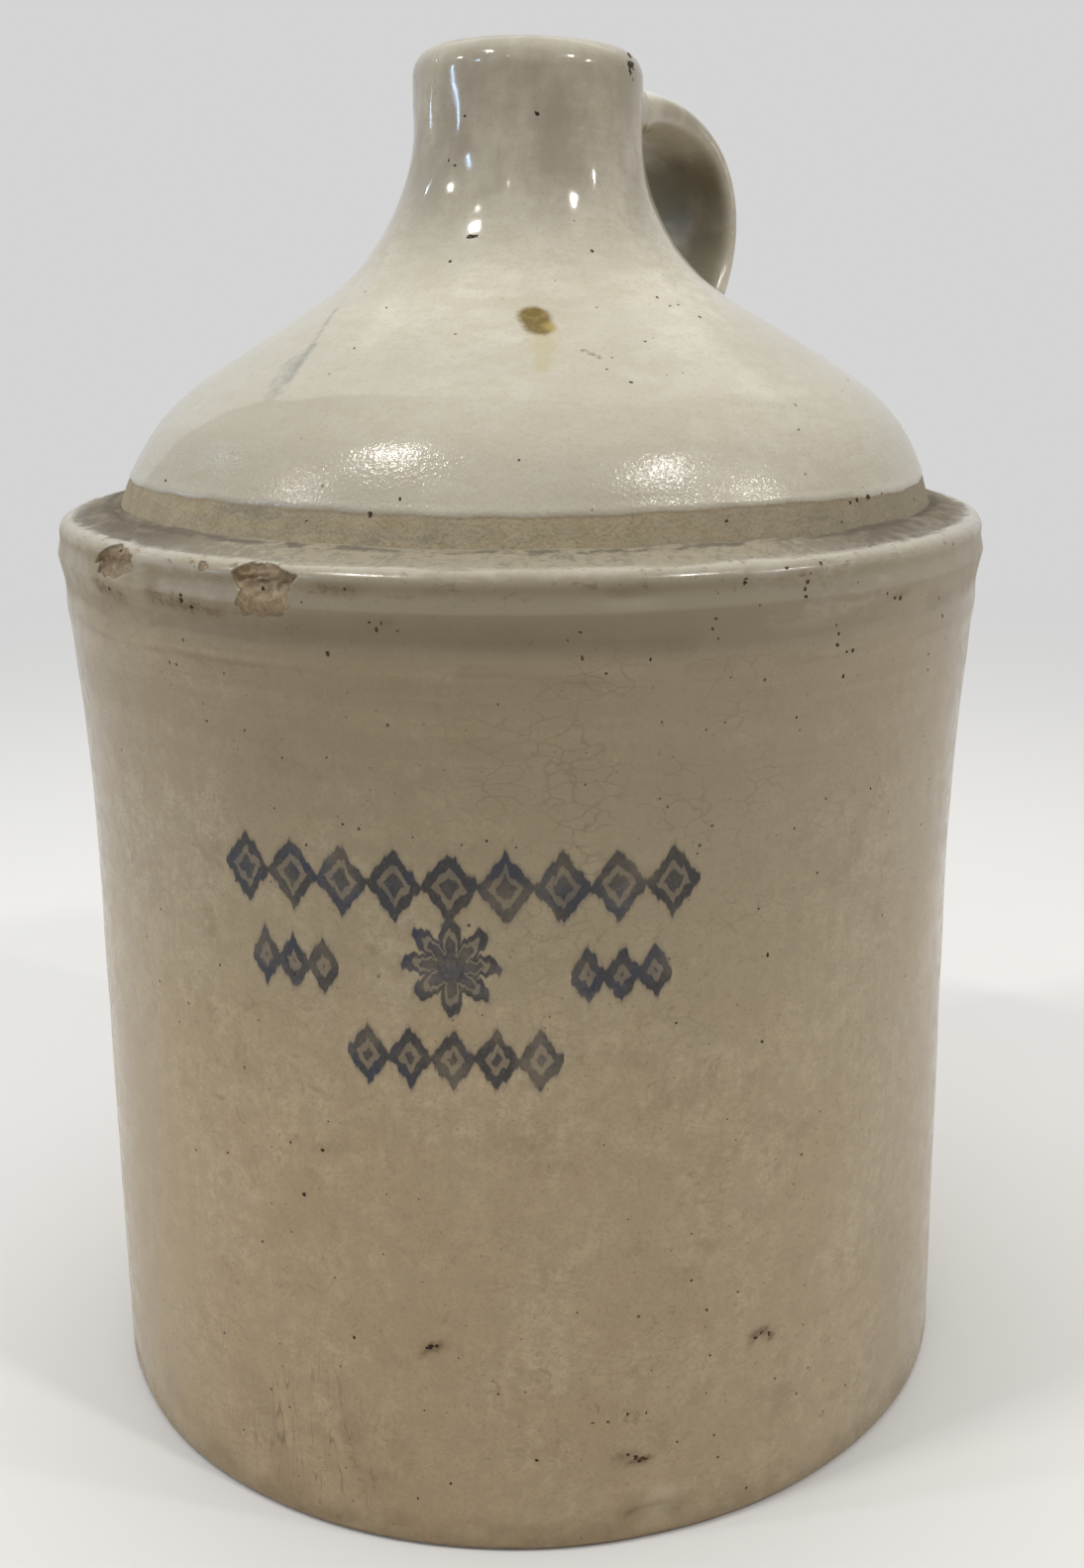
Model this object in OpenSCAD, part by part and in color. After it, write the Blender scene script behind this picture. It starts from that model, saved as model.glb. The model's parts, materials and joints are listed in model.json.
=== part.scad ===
// Two-piece stoneware shoulder jug: a turned crock with a rolled rim and ledge, a
// turned dome with its neck luted on top, and a strap handle from neck to dome.
// The jug stands on z = 0, its axis is Z and the handle points along +X.

/* [Crock] */
// Outside diameter of the crock's wall
body_d = 221; // [190:1:250]
// Height of the ledge above the ground
body_h = 222.5; // [180:0.5:270]
// Thickness of the wall
wall = 7; // [6:0.5:10]
// Thickness of the floor
floor_t = 10; // [8:0.5:15]
// Radius of the corner between floor and wall, inside
floor_round = 16; // [8:1:28]
// Radius of the base's outer edge
foot_round = 2; // [1:0.5:6]
// Width of the flat ring that the jug stands on
foot_w = 15; // [8:1:24]
// Depth of the hollow in the underside
foot_recess = 1.5; // [1:0.5:3]

/* [Rim] */
// How far the rolled rim stands out from the wall
rim_proud = 4.5; // [2:0.5:7]
// Height over which the wall flares out to the rim
flare_h = 80; // [50:1:110]
// Height of the rim's upright outer band
rim_band = 9; // [7:0.5:14]
// Radius of the rim's rounded outer edge
rim_round = 4.5; // [3:0.5:6]
// Width of the rim and ledge outside the dome
ledge_w = 13.5; // [9:0.5:18]
// Depth of the seat in which the dome's foot stands
seat_drop = 4.5; // [3:0.5:7]
// Height of the throat below the seat
throat_h = 8; // [5:0.5:14]
// Height over which the throat runs back into the wall
throat_taper = 20; // [12:1:34]

/* [Dome] */
// Thickness of the dome
dome_wall = 7.5; // [6:0.5:9.5]
// Width of the dome's foot ring
dome_foot_w = 10; // [9:0.5:14]
// Height of the straight foot above the ledge
dome_foot_h = 5.6; // [4:0.1:9]
// Slope of the foot, in degrees from level
foot_slope = 72.5; // [65:0.5:80]
// Radius of the rounded shoulder
shoulder_round = 48; // [38:1:58]
// Slope of the cone between shoulder and neck, in degrees from level
cone_tilt = 31.8; // [27:0.1:37]
// Radius of the sweep from cone to neck
neck_sweep = 49; // [38:1:62]

/* [Neck] */
// Outside diameter of the neck
neck_d = 55.8; // [50:0.2:64]
// Straight length of the neck above its sweep, lip included
neck_l = 18; // [14:0.5:30]
// Width of the lip's rounded outer edge
lip_w = 8.5; // [5:0.5:10]
// Height of the lip's rounded outer edge
lip_h = 7.5; // [5:0.5:10]
// Radius of the lip's inner edge
lip_inner = 2.5; // [1:0.5:3]
// Diameter of the mouth's bore
bore_d = 30; // [26:0.5:32]
// Depth of the bore below the lip
bore_l = 30; // [22:1:34]

/* [Handle] */
// Height from the strap's centre, where it leaves the neck, up to the lip
root_drop = 13.5; // [12:0.5:18]
// How far the strap runs straight on from the neck
root_run = 26.5; // [20:0.5:38]
// How much it climbs on that run
root_rise = 5; // [0:0.5:8]
// Distance from the jug's axis to the strap's foot on the cone
foot_r = 56; // [54:0.5:66]
// Slope at which the strap leaves the cone, in degrees from level
handle_lean = 48.5; // [42:0.5:60]
// How far the strap follows that slope
foot_run = 43; // [32:1:54]
// Width of the strap halfway
strap_w = 32.5; // [24:0.5:38]
// Width of the strap at its two ends
strap_end_w = 37; // [28:0.5:44]
// Thickness of the strap halfway
strap_t = 9.5; // [7:0.5:12]
// Thickness of the strap at the neck
root_t = 14; // [10:0.5:18]
// Thickness of the strap at the dome
foot_t = 10; // [8:0.5:14]

/* [Luting] */
// Clearance of the dry fit between two pieces of clay
slip = 0.15; // [0.1:0.05:0.4]
// Share of the flat ledge that the clay along the dome's foot covers
seam_share = 0.94; // [0.3:0.02:0.96]
// Height of that clay at the dome
seam_h = 2.2; // [1.6:0.2:4]
// How far the clay round the handle's roots spreads
lute_spread = 4; // [2:0.5:7]
// How far that clay reaches along the strap
lute_reach = 8; // [5:0.5:12]
// Thickness of that clay at its thin edge
lute_edge = 0.8; // [0.5:0.1:1.5]

/* [Hidden] */
$fn = 96;
glaze = [0.80, 0.76, 0.67];
bare_clay = [0.66, 0.58, 0.46];
// One overrun for every cut
over = 1;

// Crock
body_r = body_d / 2;
inner_r = body_r - wall;
rim_r = body_r + rim_proud;
foot_edge_r = body_r - foot_round;
foot_hollow_r = foot_edge_r - foot_w;
flare_top = body_h - rim_band;
flare_steps = 8;

// Seat of the dome on the crock
dome_r = rim_r - ledge_w;
throat_r = dome_r - dome_foot_w;
seat_z = body_h - seat_drop;
throat_z = seat_z - throat_h;
seam_w = seam_share * (ledge_w - rim_round);
seam_steps = 3;

// Dome outline: a straight foot, a convex shoulder arc, a cone and a concave sweep
foot_top = [dome_r - dome_foot_h / tan(foot_slope), body_h + dome_foot_h];
shoulder_c = foot_top - shoulder_round * [sin(foot_slope), cos(foot_slope)];
cone_low = shoulder_c + shoulder_round * [sin(cone_tilt), cos(cone_tilt)];
neck_r = neck_d / 2;
cone_high_r = neck_r + neck_sweep * (1 - sin(cone_tilt));
cone_high_z = cone_low[1] + (cone_low[0] - cone_high_r) * tan(cone_tilt);
sweep_c = [neck_r + neck_sweep, cone_high_z + neck_sweep * cos(cone_tilt)];
jug_h = sweep_c[1] + neck_l;
bore_r = bore_d / 2;
arc_steps = 9;
// Slope at which the neck's inside leaves the dome's inner sweep
throat_slope = 68;

// Handle
root_p = [neck_r, jug_h - root_drop];
foot_p = [foot_r, cone_low[1] + (cone_low[0] - foot_r) * tan(cone_tilt)];
path = [root_p, root_p + [root_run, root_rise],
        foot_p + foot_run * [cos(handle_lean), sin(handle_lean)], foot_p];
root_pace = 3 * norm(path[1] - path[0]);
foot_pace = 3 * norm(path[3] - path[2]);
// Both ends run on into the clay by this much before they are cut to its surface
bury = strap_end_w / 2;
path_steps = 26;
ring_sides = 18;
lute_steps = 4;
// Distances along the strap of the clay's rings, from inside the neck or dome outwards
lute_stations = concat([-bury], [for (i = [0:lute_steps]) lute_reach * i / lute_steps]);
// Squareness of the strap's section: 1 is an ellipse, and smaller is squarer
section_share = 0.78;
// The ends spread over a short stretch: a higher power makes it shorter
spread_power = 3;
// Share of the clay's sideways spread that it has above and below the strap
lute_rise_share = 0.45;

// Points of an arc round c, from angle a to angle b
function arc(c, r, a, b, n = arc_steps) =
    [for (i = [0:n]) let (t = a + (b - a) * i / n) c + r * [cos(t), sin(t)]];

// The dome's outline from its foot up to slope last, set out by grow
function dome_curve(grow, last = 90) = concat(
    arc(shoulder_c, shoulder_round + grow, 90 - foot_slope, 90 - cone_tilt),
    arc(sweep_c, neck_sweep - grow, 270 - cone_tilt, 270 - last));

// The lip's rounded outer edge, from the neck up to its flat top
function lip_curve(grow) =
    [for (i = [0:arc_steps])
        let (t = 90 * i / arc_steps)
        [neck_r - lip_w + (lip_w + grow) * cos(t), jug_h - lip_h + (lip_h + grow) * sin(t)]];

// Place and direction on the strap's path at share t, which runs straight on past both ends
function place(t) =
    t < 0 ? path[0] + 3 * t * (path[1] - path[0])
    : t > 1 ? path[3] + 3 * (t - 1) * (path[3] - path[2])
    : pow(1 - t, 3) * path[0] + 3 * pow(1 - t, 2) * t * path[1]
      + 3 * (1 - t) * pow(t, 2) * path[2] + pow(t, 3) * path[3];
function inside(t) = min(max(t, 0), 1);
function heading(t) =
    let (s = inside(t),
         d = pow(1 - s, 2) * (path[1] - path[0]) + 2 * (1 - s) * s * (path[2] - path[1])
             + pow(s, 2) * (path[3] - path[2]))
    d / norm(d);

// Width and thickness of the strap at share t, from neck to dome
function near_end(t) = pow(abs(2 * inside(t) - 1), spread_power);
function strap_width(t) = strap_w + (strap_end_w - strap_w) * near_end(t);
function strap_depth(t) = strap_t + ((t < 0.5 ? root_t : foot_t) - strap_t) * near_end(t);

function bend(x) = sign(x) * pow(abs(x), section_share);

// The strap's outline at share t, wider by side and thicker by rise on each edge
function section(t, side = 0, rise = 0) =
    let (c = place(t), d = heading(t), w = strap_width(t) / 2 + side, h = strap_depth(t) / 2 + rise)
    [for (i = [0:ring_sides - 1])
        let (a = 360 * (i + 0.5) / ring_sides, u = h * bend(sin(a)))
        [c[0] - d[1] * u, w * bend(cos(a)), c[1] + d[0] * u]];

// Spread of the clay round a root, at share u of its reach along the strap
function lute_side(u) = lute_edge + lute_spread * pow(1 - inside(u), 2);
function lute_rise(u) = lute_edge + lute_spread * lute_rise_share * pow(1 - inside(u), 2);

// A closed skin over rings that all have ring_sides points
module skin(rings) {
    n = ring_sides;
    last = (len(rings) - 1) * n;
    sides = [for (j = [0:n:last - n], i = [0:n - 1])
        let (a = j + i, b = j + (i + 1) % n)
        each [[a, b + n, b], [a, a + n, b + n]]];
    start = [for (i = [0:n - 1]) i];
    end = [for (i = [n - 1:-1:0]) last + i];
    polyhedron([for (r = rings) each r], concat([start], sides, [end]));
}

// The strap from share a to share b of its path, grown by gap
module strap(a, b, steps, gap = 0)
    skin([for (i = [0:steps]) section(a + (b - a) * i / steps, gap, gap)]);

// What the dome and neck fill, grown by the dry fit and run on above the lip
module dome_space()
    rotate_extrude()
        polygon(concat(
            [[0, seat_z], [dome_r + slip, seat_z], [dome_r + slip, body_h]],
            dome_curve(slip), lip_curve(slip),
            [[neck_r - lip_w, jug_h + strap_end_w], [0, jug_h + strap_end_w]]));

// Turned crock: floor, wall, flared and rolled rim, ledge, and seat for the dome
module crock_body()
    color(glaze)
        rotate_extrude()
            polygon(concat(
                [[0, foot_recess], [foot_hollow_r, foot_recess], [foot_hollow_r + foot_recess, 0]],
                arc([foot_edge_r, foot_round], foot_round, -90, 0),
                [for (i = [0:flare_steps])
                    let (t = i / flare_steps)
                    [body_r + rim_proud * t * t, flare_top - flare_h * (1 - t)]],
                arc([rim_r - rim_round, body_h - rim_round], rim_round, 0, 90),
                [[dome_r + slip, body_h], [dome_r + slip, seat_z], [throat_r, seat_z],
                 [throat_r, throat_z], [inner_r, throat_z - throat_taper]],
                arc([inner_r - floor_round, floor_t + floor_round], floor_round, 0, -90),
                [[0, floor_t]]));

// Turned dome: foot ring, rounded shoulder, cone, neck, lip and the mouth's bore
module shoulder_dome()
    color(glaze)
        rotate_extrude()
            polygon(concat(
                [[throat_r, seat_z], [dome_r, seat_z], [dome_r, body_h]],
                dome_curve(0), lip_curve(0),
                arc([bore_r + lip_inner, jug_h - lip_inner], lip_inner, 90, 180),
                [[bore_r, jug_h - bore_l]],
                [for (i = [2 * arc_steps + 1:-1:0]) dome_curve(-dome_wall, throat_slope)[i]]));

// Clay smoothed down from the dome's foot over the ledge
module shoulder_luting()
    color(bare_clay)
        rotate_extrude()
            polygon(concat(
                [[dome_r + slip, body_h], [dome_r + seam_w, body_h]],
                [for (i = [0:seam_steps])
                    let (t = i / seam_steps,
                         out = lute_edge / 2 + (seam_w - lute_edge) * (1 - t),
                         up = lute_edge / 2 + (seam_h - lute_edge / 2) * t)
                    [dome_r + slip - up / tan(foot_slope) + out, body_h + up]],
                [[dome_r + slip - seam_h / tan(foot_slope), body_h + seam_h]]));

// Pulled strap handle, its ends cut to the neck and to the cone
module handle_strap()
    color(glaze)
        difference() {
            strap(-bury / root_pace, 1 + bury / foot_pace, path_steps);
            dome_space();
        }

// Clay smoothed round the strap's root at the neck
module handle_upper_lute()
    color(glaze)
        difference() {
            skin([for (s = lute_stations)
                section(s / root_pace, lute_side(s / lute_reach), lute_rise(s / lute_reach))]);
            strap(-(bury + over) / root_pace, (lute_reach + over) / root_pace, lute_steps, slip);
            dome_space();
        }

// Clay smoothed round the strap's foot on the cone
module handle_lower_lute()
    color(glaze)
        difference() {
            skin([for (i = [lute_steps + 1:-1:0])
                let (s = lute_stations[i])
                section(1 - s / foot_pace, lute_side(s / lute_reach), lute_rise(s / lute_reach))]);
            strap(1 - (lute_reach + over) / foot_pace, 1 + (bury + over) / foot_pace, lute_steps, slip);
            dome_space();
        }

crock_body();
shoulder_dome();
shoulder_luting();
handle_strap();
handle_upper_lute();
handle_lower_lute();
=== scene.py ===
"""Stoneware shoulder jug: the glazed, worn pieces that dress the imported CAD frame.

Shapes are worked out in millimetres in the part's own frame and become metres when a
mesh is made. Marks that the photograph shows are named by their pixel there, and each
is laid on the surface that carries it.
"""

import json
import math

import bpy
import numpy as np
from mathutils import Matrix, Vector
from mathutils.bvhtree import BVHTree

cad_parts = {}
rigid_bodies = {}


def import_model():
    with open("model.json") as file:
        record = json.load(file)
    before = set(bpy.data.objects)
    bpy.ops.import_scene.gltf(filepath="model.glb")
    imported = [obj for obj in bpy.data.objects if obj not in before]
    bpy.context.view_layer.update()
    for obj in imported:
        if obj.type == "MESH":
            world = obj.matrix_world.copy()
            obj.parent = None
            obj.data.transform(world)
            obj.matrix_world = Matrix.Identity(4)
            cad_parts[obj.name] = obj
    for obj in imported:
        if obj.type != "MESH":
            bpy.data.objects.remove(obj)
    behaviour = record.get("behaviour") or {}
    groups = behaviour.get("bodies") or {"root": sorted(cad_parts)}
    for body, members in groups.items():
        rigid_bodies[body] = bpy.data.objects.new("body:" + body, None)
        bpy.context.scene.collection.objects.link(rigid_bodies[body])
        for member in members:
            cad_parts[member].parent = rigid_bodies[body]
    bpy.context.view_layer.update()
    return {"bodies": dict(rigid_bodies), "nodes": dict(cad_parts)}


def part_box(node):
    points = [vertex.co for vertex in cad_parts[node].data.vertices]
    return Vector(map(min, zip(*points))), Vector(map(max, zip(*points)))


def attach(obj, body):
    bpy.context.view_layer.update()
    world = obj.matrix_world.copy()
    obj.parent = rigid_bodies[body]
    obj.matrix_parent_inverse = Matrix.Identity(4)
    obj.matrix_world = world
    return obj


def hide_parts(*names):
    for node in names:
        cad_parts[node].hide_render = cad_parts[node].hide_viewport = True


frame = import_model()

MM = 0.001


def node_box(name):
    """Lowest and highest corner of a CAD node, in mm."""
    return [np.array(corner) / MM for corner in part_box(name)]


CROCK_HIGH = node_box("crock_body")[1]
DOME_LOW, DOME_HIGH = node_box("shoulder_dome")
RIM_R = CROCK_HIGH[0]
LEDGE_Z = CROCK_HIGH[2]
DOME_R = DOME_HIGH[0]
SEAT_Z = DOME_LOW[2]
JUG_H = DOME_HIGH[2]

# Crock, as in the part's source, in mm
RIM_PROUD = 4.5
FLARE_H = 80.0
RIM_BAND = 9.0
RIM_ROUND = 4.5
WALL = 7.0
FLOOR_T = 10.0
FLOOR_ROUND = 16.0
FOOT_ROUND = 2.0
FOOT_W = 15.0
FOOT_RECESS = 1.5
THROAT_H = 8.0
THROAT_TAPER = 20.0
BODY_R = RIM_R - RIM_PROUD
INNER_R = BODY_R - WALL

# Dome and neck, as in the part's source, in mm and degrees
DOME_WALL = 7.5
DOME_FOOT_W = 10.0
DOME_FOOT_H = 5.6
FOOT_SLOPE = 72.5
SHOULDER_ROUND = 48.0
CONE_TILT = 31.8
NECK_R = 27.9
NECK_SWEEP = 49.0
LIP_W = 8.5
LIP_H = 7.5
LIP_INNER = 2.5
BORE_R = 15.0
BORE_L = 30.0
THROAT_SLOPE = 68.0

# Height at which the dome's glaze stops, in mm
GLAZE_LINE = 230.8

# Handle, as in the part's source, in mm and degrees
ROOT_DROP = 13.5
ROOT_RUN = 26.5
ROOT_RISE = 5.0
FOOT_R = 56.0
HANDLE_LEAN = 48.5
FOOT_RUN = 43.0
STRAP_W = 32.5
STRAP_END_W = 37.0
STRAP_T = 9.5
ROOT_T = 14.0
FOOT_T = 10.0

# Camera, solved from the photograph: pixels, degrees and mm
IMAGE_W, IMAGE_H = 1094, 1582
SENSOR_MM = 36.0
FOCAL_PX = 1699.0
CENTRE_PX = (621.15, 709.56)
EYE_DISTANCE = 432.4
EYE_HEIGHT = 273.2
PITCH = 13.608
YAW = 3.037
ROLL = 0.122
# Where the handle points in the photograph: 90 is straight away from the camera
HANDLE_BEARING = 48.6


def sind(degrees):
    return math.sin(math.radians(degrees))


def cosd(degrees):
    return math.cos(math.radians(degrees))


def from_photo(x, y, z):
    """A direction or place given as photograph right, away and up, in the part's frame."""
    c, s = cosd(HANDLE_BEARING), sind(HANDLE_BEARING)
    return np.array([c * x + s * y, c * y - s * x, z])


# The photograph's right, as a direction in the part's frame
SIDE = from_photo(1.0, 0.0, 0.0)


# Camera and places named by a pixel
def camera_axes():
    """The camera's eye, and its right, up and forward directions."""
    level = np.array([sind(YAW), cosd(YAW), 0.0])
    side = np.array([cosd(YAW), -sind(YAW), 0.0])
    plumb = np.array([0.0, 0.0, 1.0])
    forward = level * cosd(PITCH) - plumb * sind(PITCH)
    up = level * sind(PITCH) + plumb * cosd(PITCH)
    right, up = side * cosd(ROLL) + up * sind(ROLL), up * cosd(ROLL) - side * sind(ROLL)
    eye = from_photo(0.0, -EYE_DISTANCE, EYE_HEIGHT)
    return eye, from_photo(*right), from_photo(*up), from_photo(*forward)


EYE, VIEW_RIGHT, VIEW_UP, VIEW_FORWARD = camera_axes()
# Depths in front of the eye between which the jug's outside is looked for, in mm
NEAREST, FARTHEST = 200.0, 620.0


def make_camera():
    data = bpy.data.cameras.new("photo_camera")
    data.sensor_fit = "AUTO"
    data.sensor_width = SENSOR_MM
    data.lens = FOCAL_PX * SENSOR_MM / IMAGE_H
    data.shift_x = (IMAGE_W / 2 - CENTRE_PX[0]) / IMAGE_H
    data.shift_y = (CENTRE_PX[1] - IMAGE_H / 2) / IMAGE_H
    data.clip_start, data.clip_end = 0.01, 50.0
    camera = bpy.data.objects.new("photo_camera", data)
    axes = Matrix((VIEW_RIGHT, VIEW_UP, -VIEW_FORWARD)).transposed()
    camera.matrix_world = Matrix.Translation(Vector(EYE * MM)) @ axes.to_4x4()
    bpy.context.scene.collection.objects.link(camera)
    bpy.context.scene.camera = camera


def arc(centre, radius, start, end, steps=24):
    """Points of a circle's arc in the section plane, from angle start to angle end."""
    turn = np.radians(np.linspace(start, end, steps + 1))
    return np.column_stack([centre[0] + radius * np.cos(turn), centre[1] + radius * np.sin(turn)])


def resample(points, step):
    """The same line with points about one step apart."""
    points = np.asarray(points, float)
    along = np.concatenate([[0], np.cumsum(np.linalg.norm(np.diff(points, axis=0), axis=1))])
    count = max(2, int(round(along[-1] / step)) + 1)
    where = np.linspace(0, along[-1], count)
    return np.column_stack([np.interp(where, along, points[:, i]) for i in range(2)])


def join(*parts):
    """One line from parts that each start where the last one ended."""
    return np.concatenate([parts[0]] + [part[1:] for part in parts[1:]])


# Outlines in the section plane: distance from the axis and height, in mm
def flare_line():
    top = LEDGE_Z - RIM_BAND
    share = np.linspace(0, 1, 40)
    return np.column_stack([BODY_R + RIM_PROUD * share**2, top - FLARE_H * (1 - share)])


def rim_line():
    """The rim's outer band, its rounded edge and the ledge up to the dome."""
    edge = arc((RIM_R - RIM_ROUND, LEDGE_Z - RIM_ROUND), RIM_ROUND, 0, 90)
    return np.concatenate([[(RIM_R, LEDGE_Z - RIM_BAND)], edge, [(DOME_R, LEDGE_Z)]])


def dome_line(grow=0.0, last=90.0):
    """The dome from its foot up to slope last: shoulder arc, cone and sweep to the neck."""
    foot_in = DOME_FOOT_H / math.tan(math.radians(FOOT_SLOPE))
    foot = np.array([DOME_R - foot_in, LEDGE_Z + DOME_FOOT_H])
    shoulder = foot - SHOULDER_ROUND * np.array([sind(FOOT_SLOPE), cosd(FOOT_SLOPE)])
    low = shoulder + SHOULDER_ROUND * np.array([sind(CONE_TILT), cosd(CONE_TILT)])
    high_r = NECK_R + NECK_SWEEP * (1 - sind(CONE_TILT))
    high_z = low[1] + (low[0] - high_r) * math.tan(math.radians(CONE_TILT))
    sweep = (NECK_R + NECK_SWEEP, high_z + NECK_SWEEP * cosd(CONE_TILT))
    return np.concatenate([
        arc(shoulder, SHOULDER_ROUND + grow, 90 - FOOT_SLOPE, 90 - CONE_TILT),
        arc(sweep, NECK_SWEEP - grow, 270 - CONE_TILT, 270 - last),
    ])


def lip_line():
    share = np.radians(np.linspace(0, 90, 16))
    return np.column_stack([
        NECK_R - LIP_W + LIP_W * np.cos(share), JUG_H - LIP_H + LIP_H * np.sin(share)])


OUTLINE = np.concatenate([
    arc((BODY_R - FOOT_ROUND, FOOT_ROUND), FOOT_ROUND, -90, 0), flare_line(), rim_line(),
    dome_line(), lip_line()])


def outline_radius(z):
    return np.interp(z, OUTLINE[:, 1], OUTLINE[:, 0])


def outline_normal(z):
    """Outward direction of the outline at height z, as (outwards, upwards)."""
    slope = outline_radius(z + 0.5) - outline_radius(z - 0.5)
    length = math.hypot(1.0, slope)
    return 1.0 / length, -slope / length


def seen_at(pixel):
    """The place on the jug's outside that the photograph shows at a pixel."""
    ray = (VIEW_FORWARD + VIEW_RIGHT * (pixel[0] - CENTRE_PX[0]) / FOCAL_PX
           - VIEW_UP * (pixel[1] - CENTRE_PX[1]) / FOCAL_PX)
    near, far = NEAREST, FARTHEST
    for _ in range(4):
        reach = np.linspace(near, far, 400)
        points = EYE + reach[:, None] * ray
        within = np.hypot(points[:, 0], points[:, 1]) <= outline_radius(points[:, 2])
        within &= (points[:, 2] >= 0) & (points[:, 2] <= JUG_H)
        first = int(np.argmax(within))
        if not within[first]:
            raise ValueError(f"the jug isn't seen at pixel {pixel}")
        near, far = reach[max(first - 1, 0)], reach[first]
    return points[first]


def bearing(point):
    """Angle of a place round the jug, in degrees."""
    return math.degrees(math.atan2(point[1], point[0]))


def span_at(pixel):
    """Size in mm of one pixel of the photograph at the place seen there."""
    return float(np.dot(seen_at(pixel) - EYE, VIEW_FORWARD)) / FOCAL_PX


# Meshes
def add_piece(name, points, faces, material, nodes=()):
    """A smooth mesh piece on the jug, from points in mm."""
    mesh = bpy.data.meshes.new(name)
    mesh.from_pydata((points * MM).tolist(), [], faces)
    mesh.polygons.foreach_set("use_smooth", [True] * len(mesh.polygons))
    mesh.materials.append(material)
    piece = bpy.data.objects.new(name, mesh)
    bpy.context.scene.collection.objects.link(piece)
    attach(piece, "root")
    if nodes:
        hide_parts(*nodes)
    return piece


def set_field(piece, name, values):
    """A number at every point of a piece, which its material reads by name."""
    field = piece.data.attributes.new(name, "FLOAT", "POINT")
    field.data.foreach_set("value", np.asarray(values, np.float32).ravel())


def grid_faces(rows, columns, closed_rows=False):
    """Quads over rows of points that each close on themselves."""
    row = np.arange(rows if closed_rows else rows - 1)[:, None] * columns
    column = np.arange(columns)[None, :]
    right = (column + 1) % columns
    above = (row + columns) % (rows * columns)
    corners = [row + column, row + right, above + right, above + column]
    return np.stack(corners, -1).reshape(-1, 4).tolist()


def end_caps(rows, columns):
    first = list(range(columns))[::-1]
    last = list(range((rows - 1) * columns, rows * columns))
    return [first, last]


class Turned:
    """Points of a turned piece: an outline's rows, each a ring of points round the axis."""

    def __init__(self, outline, angles):
        self.outline = outline
        ahead = np.roll(outline, -1, 0) - np.roll(outline, 1, 0)
        ahead[0], ahead[-1] = outline[1] - outline[0], outline[-1] - outline[-2]
        ahead /= np.linalg.norm(ahead, axis=1)[:, None]
        self.normal = np.column_stack([ahead[:, 1], -ahead[:, 0]])
        steps = np.linalg.norm(np.diff(outline, axis=0), axis=1)
        self.along = np.concatenate([[0], np.cumsum(steps)])
        self.angle = np.radians(angles)[None, :]
        self.r = outline[:, :1]
        self.z = outline[:, 1:]

    def along_at(self, point):
        """Distance along the outline of the place nearest to a point."""
        r, z = math.hypot(point[0], point[1]), point[2]
        return self.along[np.argmin(np.hypot(self.outline[:, 0] - r, self.outline[:, 1] - z))]

    def points(self, offset, lean=0.0):
        """All points, moved by offset along the normal and by lean to the photograph's right."""
        r = self.r + self.normal[:, :1] * offset
        z = self.z + self.normal[:, 1:] * offset
        lean = np.broadcast_to(lean, r.shape)
        x = r * np.cos(self.angle) + lean * SIDE[0]
        y = r * np.sin(self.angle) + lean * SIDE[1]
        return np.stack([x, y, np.broadcast_to(z, r.shape)], -1).reshape(-1, 3)


def ripple(angle, height, seed, waves=12, turns=6, pitch=60.0):
    """Smooth seeded unevenness of about -1 to 1, whose waves run round the jug and up it."""
    random = np.random.default_rng(seed)
    total = 0.0
    for _ in range(waves):
        around = random.integers(0, turns + 1)
        upwards = random.uniform(-1, 1) * 2 * math.pi / pitch
        total = total + random.normal() * np.cos(
            around * angle + upwards * height + random.uniform(0, 2 * math.pi))
    return total / math.sqrt(waves)


def unevenness(turned, seed, waves):
    """Wobble of turned clay in mm, from seeded waves of a strength, most turns and pitch."""
    return sum(strength * ripple(turned.angle, turned.z, seed + number, turns=turns, pitch=pitch)
               for number, (strength, turns, pitch) in enumerate(waves))


def bump_at(height, centre, width):
    return np.exp(-(((height - centre) / width) ** 2))


def ring_rise(z, rings):
    """How far the throwing rings stand out at each height, in mm."""
    return sum(rise * bump_at(z, centre, width) for centre, rise, width in rings)


def polygon_depth(u, v, corners):
    """How far inside a polygon each point lies; outside it the number is negative."""
    corners = np.asarray(corners, float)
    nearest = np.full(u.shape, 1e9)
    inside = np.zeros(u.shape, bool)
    for (x0, y0), (x1, y1) in zip(corners, np.roll(corners, -1, 0)):
        length2 = (x1 - x0) ** 2 + (y1 - y0) ** 2
        share = np.clip(((u - x0) * (x1 - x0) + (v - y0) * (y1 - y0)) / length2, 0, 1)
        gap = np.hypot(u - x0 - share * (x1 - x0), v - y0 - share * (y1 - y0))
        nearest = np.minimum(nearest, gap)
        if y0 != y1:
            crosses = (v > min(y0, y1)) & (v <= max(y0, y1))
            inside ^= crosses & (u < x0 + (v - y0) * (x1 - x0) / (y1 - y0))
    return np.where(inside, nearest, -nearest)


def stroke_share(points, strokes):
    """Strongest of several soft strokes at each point: pixels of a line, its width and strength."""
    total = np.zeros(len(points))
    for pixels, width, strength in strokes:
        line = [seen_at(pixel) for pixel in pixels]
        reach = width * span_at(pixels[0])
        gap = np.full(len(points), 1e9)
        for start, end in zip(line[:-1], line[1:]) if len(line) > 1 else [(line[0], line[0])]:
            run = end - start
            share = (points - start) @ run / max(run @ run, 1e-9)
            foot = start + np.clip(share, 0, 1)[:, None] * run
            gap = np.minimum(gap, np.linalg.norm(points - foot, axis=1))
        total = np.maximum(total, strength * np.clip(1.2 - gap / reach, 0, 1))
    return total


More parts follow.
